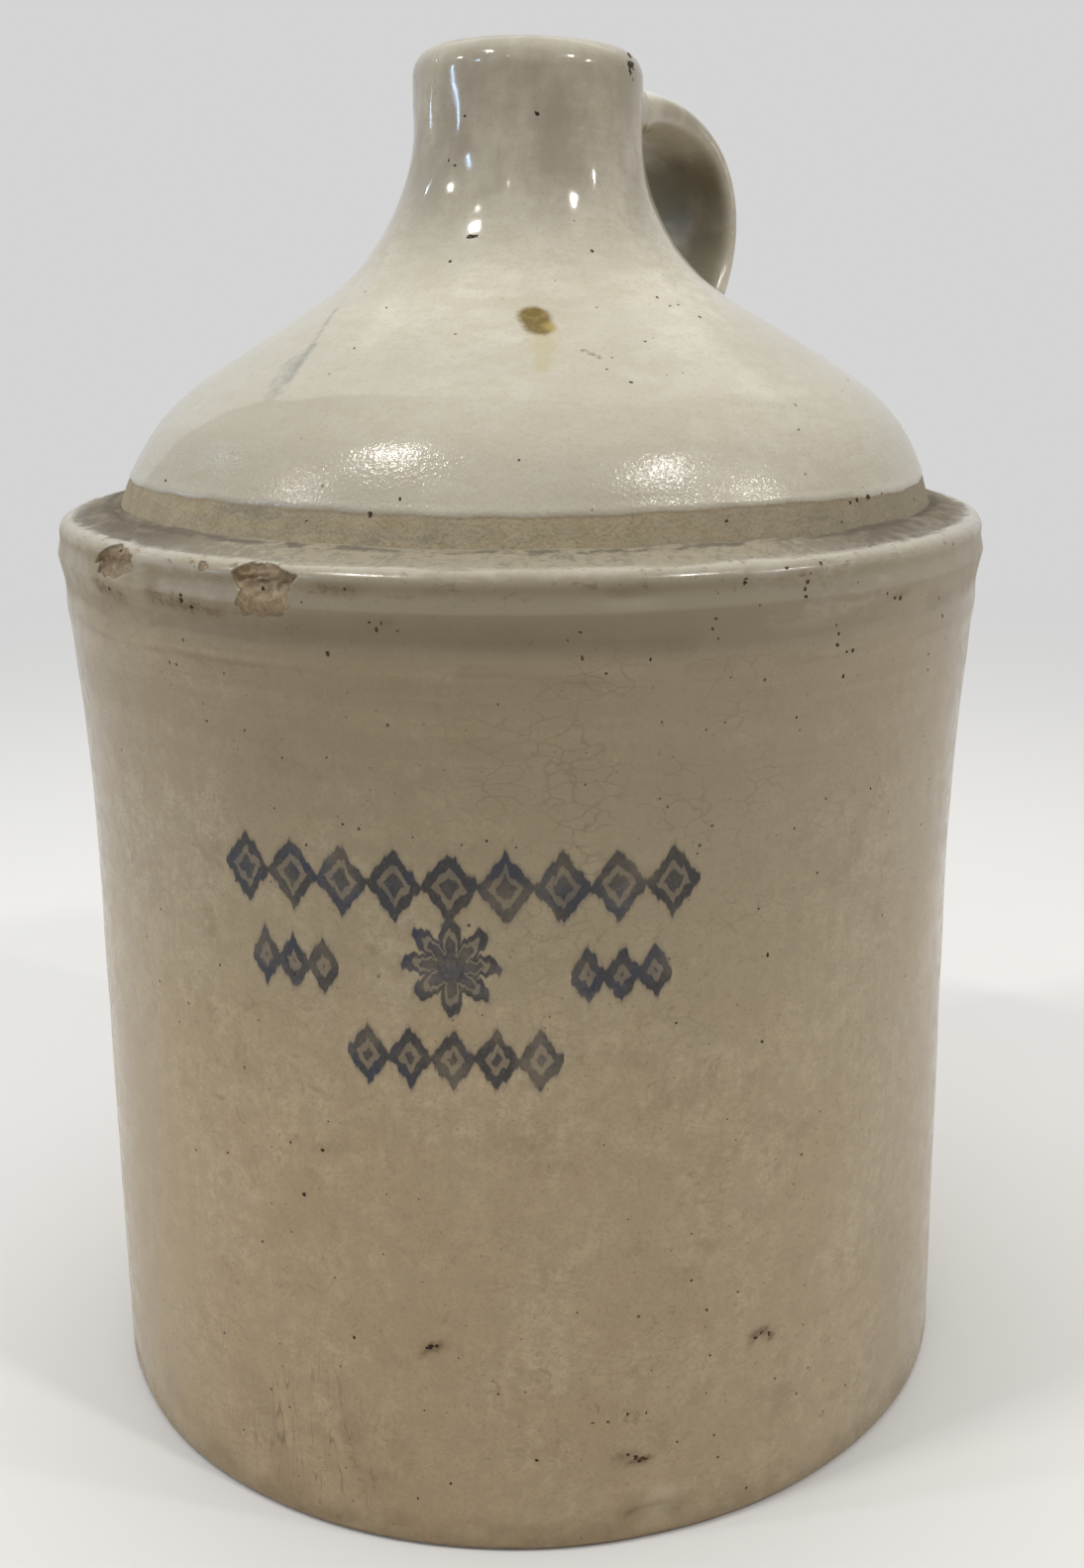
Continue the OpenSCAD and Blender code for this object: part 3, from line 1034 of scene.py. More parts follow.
# Colours, as linear red, green and blue
BODY_WARM = (0.462, 0.390, 0.252)
BODY_PALE = (0.590, 0.522, 0.374)
BODY_GREY = (0.362, 0.314, 0.226)
BODY_GREEN = (0.400, 0.375, 0.260)
# Darker tone for the glaze's level streaks, and painted shade under the rim, down the middle and at
# the sides
BODY_DARK_AND_PAINTED_SHADE = (0.290, 0.240, 0.150)
BODY_TAN = (0.395, 0.300, 0.172)
# Painted warm reflected light, low down and at the sides
BODY_PAINTED_WARM_REFLECTION = (0.440, 0.315, 0.150)
BODY_COOL = (0.365, 0.335, 0.270)
RIM_CREAM = (0.400, 0.375, 0.310)
RIM_GREY = (0.420, 0.400, 0.345)
# Painted shade for the rim's outer face
RIM_PAINTED_SHADE = (0.215, 0.190, 0.140)
# Painted highlight over the dent near the foot
DENT_PAINTED_HIGHLIGHT = (0.560, 0.520, 0.410)
DOME_CREAM = (0.600, 0.566, 0.463)
DOME_BEIGE = (0.490, 0.441, 0.335)
DOME_GREY = (0.515, 0.490, 0.400)
# Painted shade for the lower dome
DOME_PAINTED_SHADE = (0.375, 0.350, 0.285)
THIN_BEIGE = (0.360, 0.322, 0.240)
BAND_TAN = (0.300, 0.240, 0.144)
BAND_PALE = (0.350, 0.292, 0.188)
CLAY_TAN = (0.280, 0.212, 0.125)
CLAY_PALE = (0.350, 0.275, 0.170)
CLAY_GREY = (0.165, 0.150, 0.115)
CLAY_DARK = (0.085, 0.070, 0.050)
CHIP_BROWN = (0.200, 0.146, 0.086)
LEDGE_OLIVE = (0.268, 0.240, 0.172)
STAIN_BROWN = (0.135, 0.085, 0.038)
CRAZE_BROWN = (0.170, 0.125, 0.070)
# Khaki glaze runs of the neck, which also stand for painted shade there
NECK_KHAKI_AND_PAINTED_SHADE = (0.257, 0.227, 0.171)
SLIP_BROWN = (0.075, 0.038, 0.020)
# Painted shade for the strap's underside
UNDERSIDE_PAINTED_SHADE = (0.120, 0.102, 0.062)
# Painted light for the strap's top and root and for the lip
TOP_PAINTED_LIGHT = (0.720, 0.710, 0.640)
SMEAR_GREY = (0.192, 0.202, 0.182)
SPOT_BROWN = (0.136, 0.084, 0.010)
SPOT_GOLD = (0.330, 0.240, 0.050)
DRIP_YELLOW = (0.420, 0.360, 0.190)
INK_DARK = (0.026, 0.023, 0.022)
INK_DEEP = (0.022, 0.026, 0.040)
INK_BLUE = (0.016, 0.020, 0.044)
IRON_DARK = (0.014, 0.009, 0.006)

GLAZE_IOR = 1.5


def clay_colour(s):
    """Bare stoneware: tan with paler and darker grains and grey smudges."""
    return s.layered(
        CLAY_TAN,
        (s.noise(5, 3).ramp(0.35, 0.65), CLAY_PALE),
        (s.noise(1.1, 2).ramp(0.42, 0.62) * 0.35, CLAY_PALE),
        (s.noise(1.6, 3, 0.7).ramp(0.60, 0.70) * 0.5, CLAY_DARK),
        (s.noise(14, 4, 0.6).ramp(0.48, 0.66) * 0.35, CLAY_GREY))


# Stamped ornament: where its middle, right end, top and foot are seen, as pixels
STAMP_MIDDLE = (455, 978)
STAMP_END = (706, 900)
STAMP_TOP = (455, 864)
STAMP_FOOT = (455, 1096)


def outlined(depth):
    """Ink of a shape by the distance in mm outside it: an edge, a heart and a faint blur."""
    edge = abs(depth + 0.5).ramp(1.75, 0.95)
    heart = depth.ramp(-2.6, -3.4) * 0.95
    blur = depth.ramp(2.4, -0.6) * 0.55
    return largest(edge, heart, blur)


def lozenge_row(s, u, v, height, pitch, half_w, half_h, half_row):
    """Ink of a level row of lozenges, which ends at half_row to each side."""
    cell = u - s.math("ROUND", u / pitch) * pitch
    depth = (abs(cell) / half_w + abs(v - height) / half_h - 1.0) * half_w
    return outlined(depth) * (abs(u) < half_row)


def rosette(s, u, v, height, radius):
    """Ink of an eight-lobed rosette round a ring."""
    dv = v - height
    reach = s.hypot(u, dv)
    lobes = abs(s.math("COSINE", s.math("ARCTAN2", dv, u) * 4.0))
    petals = outlined(reach - (lobes * 0.5 + 0.5) * radius)
    return largest(petals, abs(reach - radius * 0.26).ramp(0.9, 0.35))


def ornament(s):
    """Ink of a plain geometric ornament, stamped a little blurred and run."""
    middle = seen_at(STAMP_MIDDLE)
    half = abs(bearing(seen_at(STAMP_END)) - bearing(middle)) * math.pi / 180 * BODY_R
    top = seen_at(STAMP_TOP)[2] - middle[2]
    foot = seen_at(STAMP_FOOT)[2] - middle[2]
    turned = s.add("VectorRotate", Vector=s.place, Angle=-math.radians(bearing(middle)))
    turned.rotation_type = "Z_AXIS"
    x, y, z = s.axes(turned.outputs[0])
    shiver = (s.noise(2.2, 2) - 0.5) * 1.1
    runs = s.noise(1.0, 1, stretch=(0.75, 0.75, 0.04)) * 3.2
    u = s.math("ARCTAN2", y, x) * BODY_R + shiver
    v = z - middle[2] + shiver + runs - 1.6
    flank = abs(u) - half * 0.68
    pitch = half / 4.5
    row_h = top * 0.28
    low_h = row_h * 0.85
    side_h = row_h * 0.75
    ink = largest(
        lozenge_row(s, u, v, top - row_h, pitch, pitch * 0.47, row_h, half),
        lozenge_row(s, u, v, foot + low_h, pitch * 0.8, pitch * 0.38, low_h, pitch * 2.0),
        rosette(s, u, v, top * 0.02, top * 0.40),
        lozenge_row(s, flank, v, -top * 0.08, pitch * 0.62, pitch * 0.31, side_h, pitch * 0.93))
    wear = s.noise(13, 3, 0.6).ramp(0.30, 0.62) * 0.28 + 0.76
    fine = s.noise(0.9, 2).ramp(0.25, 0.6) * 0.10 + 0.91
    return ink * (x > 0.0) * wear * fine


def crazing(s, size, width):
    """Thin cracks of the glaze, mostly level."""
    drift = s.add("TexNoise", Vector=s.place, Scale=1 / (size * 1.3)).outputs["Color"]
    push = s.vector("MULTIPLY", drift, (size * 0.9, size * 0.9, size * 0.9))
    warped = s.vector("ADD", s.stretched((0.55, 0.55, 1.15)), push)
    return s.cells(size, "DISTANCE_TO_EDGE", warped)[0].ramp(width, width * 0.25)


def pin_specks(s, size, share, radius):
    """Small dark points, one in some of the cells of a random net."""
    distance, colour = s.cells(size)
    return distance.ramp(radius, radius * 0.45) * (s.axes(colour)[0] > 1.0 - share)


def sideways(s):
    """Distance in mm to the photograph's right of the axis."""
    x, y, _ = s.axes()
    return x * float(SIDE[0]) + y * float(SIDE[1])


# The darkest grime on the ledge, at the photograph's left and right, and its reach in mm
GRIMY_PIXELS = [(112, 526), (150, 536), (885, 537), (952, 519)]
GRIME_REACH = 36.0


def ledge_dirt(s, colour, radius, z):
    """Olive and grey dirt of the ledge, thicker towards the dome, and how thick it is."""
    level = z.ramp(LEDGE_Z - 1.2, LEDGE_Z - 0.6) * radius.ramp(RIM_R - 2.4, RIM_R - 4.0)
    spread = radius + (s.noise(4.0, 5, 0.7) - 0.5) * 9.0
    dirt = level * spread.ramp(RIM_R - 2.6, RIM_R - 5.8)
    flanks = abs(sideways(s)).ramp(35.0, 85.0)
    smudges = (s.noise(2.2, 5, 0.75) + flanks * 0.22).ramp(0.48, 0.64)
    dark = largest(*[s.near(pixel, GRIME_REACH) for pixel in GRIMY_PIXELS])
    streaky = s.noise(5.0, 5, 0.75, (0.5, 0.5, 1.0)).ramp(0.36, 0.54)
    shade = s.layered(LEDGE_OLIVE, (smudges * 0.95, CLAY_GREY), (dark * streaky * 0.95, CLAY_DARK))
    return s.mix(dirt * 0.85, colour, shade), dirt


# Brown lines round the crock: a pixel on each, its reach up and down in mm, and its strength
LEVEL_LINES = [
    ((800, 666), 1.1, 0.46), ((800, 640), 0.9, 0.34), ((500, 650), 2.8, 0.50),
    ((430, 780), 1.2, 0.14),
]


def level_line(s, z, pixel, width, strength):
    """A line at the height seen at a pixel, which wanders a little and comes and goes."""
    wander = (s.noise(30, 4, 0.6) - 0.5) * 5.0
    gap = abs(z + wander - float(seen_at(pixel)[2]))
    return gap.ramp(width, width * 0.2) * s.noise(22, 3).ramp(0.40, 0.60) * strength


# Areas of the crock's glaze, as a pixel and the reach in mm round the place seen there
GREENER = (690, 770), 70.0
MOST_CRAZED = (640, 760), 62.0
SCRATCHED = (310, 1450), 30.0
RUBBED = (160, 1330), 26.0
# Place of the painted highlight on the upper edge of the dent near the foot
DENT_HIGHLIGHT_PLACE = (667, 1514), 6.0

# Heights in mm at which the crock's shades set in, and those at which they have done so
BANDS_Z = (150.0, 215.0)
SOOT_Z = (60.0, 10.0)
SMUDGES_Z = (80.0, 30.0)
# Painted shade on the wall under the rim: where it starts, and where it stops at the rim
UNDER_RIM_SHADE_Z = (95.0, 205.0)
UNDER_RIM_SHADE_END_Z = (LEDGE_Z, LEDGE_Z - 4.0)
# Painted warm reflected light low down: where it starts and where it is full
LOW_WARM_REFLECTION_Z = (175.0, 105.0)
COOL_Z = (195.0, 216.0)
# Painted shade on the rim's outer face, which turns down
RIM_FACE_SHADE_Z = (LEDGE_Z - 21.0, LEDGE_Z - 15.0)
RIM_FACE_SHADE_END_Z = (LEDGE_Z + 0.3, LEDGE_Z - 2.2)
# Paler rim edge, partly worn glaze and partly painted highlight
RIM_EDGE_WEAR_AND_HIGHLIGHT_Z = (LEDGE_Z - 0.6, LEDGE_Z + 2.0)
SPOTS_Z = (LEDGE_Z - 9.0, LEDGE_Z - 4.0)
WASHED_Z = (206.0, 211.0)
DULL_Z = (204.0, 209.0)
DULL_END_Z = (220.5, 218.5)


def crock_clouds(s, z, mottle):
    """The crock's glaze by itself: clouds, streaks, soot and fine smudges."""
    bands = s.noise(4.5, 3, 0.6, (0.03, 0.03, 1.0)).ramp(0.44, 0.62) * z.ramp(*BANDS_Z)
    soot = (s.noise(16, 6, 0.72) + z.ramp(*SOOT_Z) * 0.03).ramp(0.54, 0.70)
    green = s.near(*GREENER) * s.noise(22, 3, 0.6).ramp(0.36, 0.60)
    smudges = s.noise(3.4, 5, 0.72, twist=0.8).ramp(0.57, 0.68) * s.noise(26, 3).ramp(0.42, 0.60)
    crazed = largest(s.near(*MOST_CRAZED), s.noise(40, 2).ramp(0.48, 0.60) * 0.45)
    cracks = crazing(s, 4.2, 0.050) * s.noise(15, 3).ramp(0.38, 0.58) * crazed
    return s.layered(
        BODY_WARM,
        (s.noise(34, 6, 0.68).ramp(0.38, 0.62), BODY_PALE),
        (s.noise(24, 6, 0.7).ramp(0.48, 0.64) * 0.55, BODY_TAN),
        (mottle * 0.60, BODY_GREY),
        (s.noise(2.6, 3, 0.6, (1, 1, 0.07)).ramp(0.45, 0.62) * 0.26, BODY_GREY),
        (s.noise(1.5, 3, 0.7, (0.7, 0.7, 1.0), 0.6).ramp(0.46, 0.62) * 0.52, BODY_GREY),
        (bands * 0.60, BODY_DARK_AND_PAINTED_SHADE),
        *[(level_line(s, z, *line), STAIN_BROWN) for line in LEVEL_LINES],
        (soot * 0.40, STAIN_BROWN),
        (green * 0.7, BODY_GREEN),
        (s.noise(0.7, 2, 0.6).ramp(0.50, 0.66) * 0.24, STAIN_BROWN),
        (smudges * (z.ramp(*SMUDGES_Z) * 0.16 + 0.50), STAIN_BROWN),
        (cracks * 0.78, CRAZE_BROWN))


def crock_shades(s, z, colour):
    """The same glaze with painted light and shade: painted shade under the rim, on the rim's face,
    down the middle and at the sides, a painted warm reflection low down and at the sides, a cooler
    right side, a paler rim edge, partly wear and partly painted highlight, and washes and stains.
    """
    rightwards = sideways(s)
    middle = abs(rightwards).ramp(100.0, 35.0)
    turning = abs(rightwards).ramp(60.0, 108.0)
    # Painted shade under the rim, strongest just below it
    upper = (z + s.noise(9, 4, 0.6) * 16.0).ramp(*UNDER_RIM_SHADE_Z) * z.ramp(*UNDER_RIM_SHADE_END_Z)
    # Painted warm reflected light low down, more to the left
    low = (z + s.noise(30, 4) * 30.0).ramp(*LOW_WARM_REFLECTION_Z)
    cool = (rightwards.ramp(-60.0, 100.0) * 0.30
            + rightwards.ramp(0.0, 90.0) * z.ramp(*COOL_Z) * 0.35)
    # Painted shade on the rim's outer face
    roll = z.ramp(*RIM_FACE_SHADE_Z) * z.ramp(*RIM_FACE_SHADE_END_Z)
    # Paler rim edge, partly worn glaze and partly painted highlight
    edge = (z + s.noise(4, 4, 0.7) * 4.0).ramp(*RIM_EDGE_WEAR_AND_HIGHLIGHT_Z)
    washed = (s.noise(15, 5, 0.7, (0.6, 0.6, 1.3)).ramp(0.50, 0.60) * z.ramp(*WASHED_Z)
              * abs(rightwards + 8.0).ramp(30.0, 75.0))
    spots = z.ramp(*SPOTS_Z) * s.noise(2.4, 4, 0.72, (0.6, 0.6, 1.2)).ramp(0.57, 0.68)
    return s.layered(
        colour,
        # Painted shade under the rim, stronger in the middle
        (upper * (middle * 0.25 + 0.40), BODY_DARK_AND_PAINTED_SHADE),
        # Painted warm reflected light low down, stronger to the left
        (low * (rightwards.ramp(30.0, -90.0) * 0.22 + 0.22), BODY_PAINTED_WARM_REFLECTION),
        # Painted warm reflected light at the sides
        (turning * 0.20, BODY_PAINTED_WARM_REFLECTION),
        # Painted shade at the sides
        (turning * 0.26, BODY_DARK_AND_PAINTED_SHADE),
        # Painted shade down the middle, front and back
        (middle * 0.14, BODY_DARK_AND_PAINTED_SHADE),
        (cool, BODY_COOL),
        # Painted shade on the rim's outer face, stronger in the middle
        (roll * (middle * 0.36 + 0.22), RIM_PAINTED_SHADE),
        # Paler rim edge, partly worn glaze and partly painted highlight
        (edge * 0.85, RIM_CREAM),
        (washed * 0.45, RIM_GREY),
        (spots * 0.55, STAIN_BROWN))


def crock_glaze():
    """Khaki glaze over stoneware, with its scratches, stains, ornament, ledge dirt, chips and a
    painted highlight over a dent.
    """
    s = Shader("crock_glaze")
    x, y, z = s.axes()
    mottle = s.noise(4.6, 5, 0.65).ramp(0.42, 0.60)
    ridge = abs(s.noise(3.5, 2, 0.5, (1, 1, 0.10)) - 0.5)
    scratched = largest(s.near(*SCRATCHED), s.near(*RUBBED) * 0.7)
    scratches = ridge.ramp(0.016, 0.003) * s.noise(7, 2).ramp(0.42, 0.56) * scratched
    foot = (z - s.noise(12, 4) * 14.0).ramp(4.0, -6.0) * 0.35
    stain = s.field("stain")
    spotty = (stain + (s.noise(1.5, 5, 0.75) - 0.5) * 2.4).ramp(0.36, 0.95)
    specks = largest(pin_specks(s, 4.0, 0.30, 0.085), pin_specks(s, 9.0, 0.40, 0.060))
    ink = ornament(s)
    colour = s.layered(
        crock_shades(s, z, crock_clouds(s, z, mottle)),
        (scratches * 0.55, STAIN_BROWN),
        # Painted highlight on the dent's upper edge
        (s.near(*DENT_HIGHLIGHT_PLACE) * 0.55, DENT_PAINTED_HIGHLIGHT),
        (foot, STAIN_BROWN),
        (largest(spotty * 0.72, stain * 0.50), STAIN_BROWN),
        (specks * 0.85, IRON_DARK),
        (pin_specks(s, 2.3, 0.22, 0.17) * 0.42, STAIN_BROWN),
        (ink * 0.97, s.mix(s.noise(11, 3).ramp(0.50, 0.62), INK_DARK, INK_BLUE)),
        (ink * s.noise(14, 3, 0.6, twist=0.5).ramp(0.48, 0.66) * 0.60, INK_DEEP))
    colour, grime = ledge_dirt(s, colour, s.hypot(x, y), z)
    chip = s.field("chip")
    chip_edge = chip + (s.noise(1.1, 3, 0.7) - 0.5) * 0.5
    broken = chip_edge.ramp(-0.05, 0.12)
    chip_line = abs(chip_edge - 0.10).ramp(0.28, 0.06) * s.noise(3.0, 3).ramp(0.42, 0.58)
    clay = clay_colour(s)
    under = (z + s.noise(6, 3) * 1.6).ramp(2.6, 1.6)
    colour = s.layered(
        colour,
        (broken, s.mix(s.noise(1.4, 4, 0.7).ramp(0.36, 0.66), CHIP_BROWN, clay)),
        (chip_line * 0.6, CLAY_DARK),
        (s.field("inside"), SLIP_BROWN),
        (under, clay))
    bare = largest(broken, under, grime * 0.8)
    gloss = (mottle * 0.10 + spotty * 0.15 + foot * 0.3
             + z.ramp(*DULL_Z) * z.ramp(*DULL_END_Z) * 0.22 + 0.17)
    rough = largest(chip, 2.0 - z) > 0.0
    s.bump(s.noise(7, 2, 0.5) * 0.9 + s.noise(1.0, 2, 0.7) * (rough * 1.6 + 0.10), 0.11)
    return s.finish(colour, largest(gloss, bare * 0.78), IOR=GLAZE_IOR)


def band_clay(s):
    """The dome's unglazed foot: olive tan, with fine level lines and a few dark smudges."""
    return s.layered(
        BAND_TAN,
        (s.noise(5, 4, 0.6).ramp(0.35, 0.65), BAND_PALE),
        (s.noise(1.2, 3, 0.6, (0.06, 0.06, 1.0)).ramp(0.44, 0.60) * 0.40, LEDGE_OLIVE),
        (s.noise(0.8, 3, 0.7).ramp(0.54, 0.66) * 0.35, CLAY_DARK),
        (sideways(s).ramp(10.0, 85.0) * 0.40, CLAY_GREY),
        (s.noise(8, 5, 0.7, (0.5, 0.5, 1.0)).ramp(0.54, 0.70) * 0.60, CLAY_GREY))


# The paler, golden side of the brown spot on the dome, as a pixel and a reach in mm
GOLDEN = (558, 329), 3.2

# Heights in mm at which shades of the dome and strap set in, and those at which they have done so
# Khaki runs at the neck, partly painted shade
NECK_RUNS_AND_SHADE_Z = (LEDGE_Z + 50.0, LEDGE_Z + 82.0)
# Painted shade over the lower dome: where it is full, and where it has faded out
LOWER_DOME_SHADE_Z = (LEDGE_Z + 58.0, LEDGE_Z + 34.0)
GLOSS_Z = (LEDGE_Z + 50.0, LEDGE_Z + 15.0)
ROUGH_Z = (LEDGE_Z + 34.0, LEDGE_Z + 14.0)
GRIME_Z = (LEDGE_Z + 5.4, LEDGE_Z + 2.6)
# Painted shade under the strap, fading out towards both ends
UNDERSIDE_SHADE_TOP_Z = (302.0, 316.0)
UNDERSIDE_SHADE_FOOT_Z = (294.0, 280.0)
# Painted light on the strap's outer face and on the lip
STRAP_TOP_LIGHT_Z = (288.0, 312.0)
LIP_PAINTED_LIGHT_Z = (JUG_H - 5.0, JUG_H - 1.5)
# Painted light on the underside at the strap's root
ROOT_PAINTED_LIGHT_Z = (305.0, 318.0)


def dome_clouds(s, z, mottle):
    """The dome's glaze: cream with beige clouds, painted shade over the lower dome, and khaki runs
    at the neck, partly painted shade.
    """
    patches = s.noise(13, 4, 0.6, (1, 1, 0.45)).ramp(0.28, 0.66)
    # Khaki runs over the neck, with an even share under them that is painted shade
    runs = (patches * 0.60 + 0.38) * z.ramp(*NECK_RUNS_AND_SHADE_Z)
    ragged = (s.noise(3.0, 4, 0.7) - 0.5) * 0.8
    thin = ((s.field("thin") + ragged).ramp(0.12, 0.42)
            * (sideways(s).ramp(-5.0, -50.0) * 0.36 + 0.16))
    specks = largest(pin_specks(s, 4.0, 0.22, 0.075), pin_specks(s, 9.0, 0.30, 0.055))
    return s.layered(
        DOME_CREAM,
        (s.noise(26, 5, 0.62).ramp(0.38, 0.64) * 0.5, DOME_BEIGE),
        (s.noise(38, 3).ramp(0.45, 0.62) * 0.6, DOME_GREY),
        (mottle * 0.45, DOME_BEIGE),
        (s.noise(2.6, 4, 0.65, (0.28, 0.28, 1.0)).ramp(0.44, 0.60) * 0.55, DOME_BEIGE),
        (s.noise(5.0, 3, 0.6, (0.06, 0.06, 1.0)).ramp(0.40, 0.62) * 0.14, DOME_GREY),
        # Painted shade over the lower dome
        (z.ramp(*LOWER_DOME_SHADE_Z) * 0.42, DOME_PAINTED_SHADE),
        (thin, THIN_BEIGE),
        # Khaki runs at the neck, partly painted shade
        (runs * 0.80, NECK_KHAKI_AND_PAINTED_SHADE),
        (s.noise(0.8, 2, 0.6).ramp(0.52, 0.68) * 0.10, CLAY_GREY),
        (specks * 0.8, STAIN_BROWN))


def dome_marks(s, colour):
    """The same glaze with the dome's smear, stains, and brown spot with its run."""
    uneven = (s.noise(2.4, 4, 0.7) - 0.5) * 1.3
    golden = largest(s.near(*GOLDEN), s.noise(2.0, 4, 0.65).ramp(0.50, 0.68) * 0.5)
    marks = [
        ("smear", 0.7, 0.15, 0.95, 0.85, SMEAR_GREY),
        ("stain", 1.0, 0.5, 1.0, 0.6, STAIN_BROWN),
        ("drip", 0.7, 0.10, 0.95, 0.52, DRIP_YELLOW),
        ("spot", 0.34, 0.14, 0.62, 0.92, s.mix(golden, SPOT_BROWN, SPOT_GOLD)),
    ]
    return s.layered(colour, *[
        ((s.field(name) + uneven * ragged).ramp(low, high) * strength, over)
        for name, ragged, low, high, strength, over in marks])


def dome_glaze():
    """Cream glaze of dome and strap, with a bare band at the dome's foot, painted shade under the
    strap, and painted light on the strap's top and root and on the lip.
    """
    s = Shader("dome_glaze")
    z = s.axes()[2]
    mottle = s.noise(3.2, 4, 0.65).ramp(0.42, 0.64)
    above = s.field("above_band")
    on_dome = z < LEDGE_Z + 20.0
    edge = above + (s.noise(1.3, 3, 0.7) - 0.5) * 0.6
    bare = edge.ramp(0.10, -0.10) * on_dome
    rust = abs(edge).ramp(0.45, 0.05) * on_dome
    grime = (z + s.noise(5.0, 5, 0.7) * 6.0).ramp(*GRIME_Z) * bare
    inner_face = s.field("underside_shade")
    # Painted shade on the strap's inner face
    underside_shade = inner_face.ramp(0.0, 0.9) * s.noise(20, 3, 0.5).ramp(0.15, 0.50)
    uneven_z = z + (s.noise(11, 4, 0.65) - 0.5) * 9.0
    ends = uneven_z.ramp(*UNDERSIDE_SHADE_TOP_Z) * 0.95 + z.ramp(*UNDERSIDE_SHADE_FOOT_Z) * 0.24
    # Painted light on the strap's outer face, growing upwards, and on the lip
    worn = largest(inner_face.ramp(-0.3, -1.0) * (z.ramp(*STRAP_TOP_LIGHT_Z) * 0.55 + 0.30),
                   z.ramp(*LIP_PAINTED_LIGHT_Z) * 0.10)
    # Painted light on the inner face at the strap's root
    root = inner_face.ramp(0.0, 0.6) * uneven_z.ramp(*ROOT_PAINTED_LIGHT_Z)
    colour = s.layered(
        dome_marks(s, dome_clouds(s, z, mottle)),
        (bare, band_clay(s)),
        (rust * 0.5, CLAY_TAN),
        (grime * 0.55, CLAY_GREY),
        # Painted shade under the strap, less towards its ends
        (underside_shade * (0.86 - ends * 0.86), UNDERSIDE_PAINTED_SHADE),
        # Painted light on the strap's outer face and on the lip
        (worn, TOP_PAINTED_LIGHT),
        # Painted light on the inner face at the strap's root
        (root * 0.75, TOP_PAINTED_LIGHT),
        (s.field("inside"), SLIP_BROWN))
    gloss = mottle * 0.05 + z.ramp(*GLOSS_Z) * 0.06 + 0.09
    rough = z.ramp(*ROUGH_Z) * 1.25 + (above < 0.0) * 1.3 + 0.03
    s.bump(s.noise(8, 2, 0.5) * 0.7 + s.noise(0.9, 2, 0.6) * rough, 0.10)
    return s.finish(colour, largest(gloss, bare * 0.80, underside_shade * 0.42), IOR=GLAZE_IOR)


def luting_clay():
    """Dirty clay over the ledge: tan at the dome, then olive and grey, with a broken dark seam."""
    s = Shader("luting_clay")
    x, y, z = s.axes()
    radius = s.hypot(x, y)
    pale = (radius + s.noise(4, 4, 0.7) * 5.0).ramp(RIM_R - 6.0, RIM_R - 2.5)
    colour = s.mix(pale * 0.45, clay_colour(s), RIM_CREAM)
    colour, _ = ledge_dirt(s, colour, radius, z + 1.0)
    wander = (s.noise(5, 5, 0.7) - 0.5) * 4.8
    seam = (abs(radius + wander - (DOME_R + 1.3)).ramp(2.1, 0.4)
            * s.noise(9, 4, 0.65, (1, 1, 0.1)).ramp(0.40, 0.52))
    colour = s.mix(seam * 0.74, colour, CLAY_DARK)
    s.bump(s.noise(1.1, 4, 0.7), 0.30)
    return s.finish(colour, 0.85 - pale * 0.45, IOR=GLAZE_IOR)


def iron_speck():
    s = Shader("iron_speck")
    colour = s.mix(s.noise(0.5, 2).ramp(0.46, 0.66), IRON_DARK, STAIN_BROWN)
    return s.finish(colour, s.noise(0.6, 2) * 0.3 + 0.55, Specular_IOR_Level=0.25)


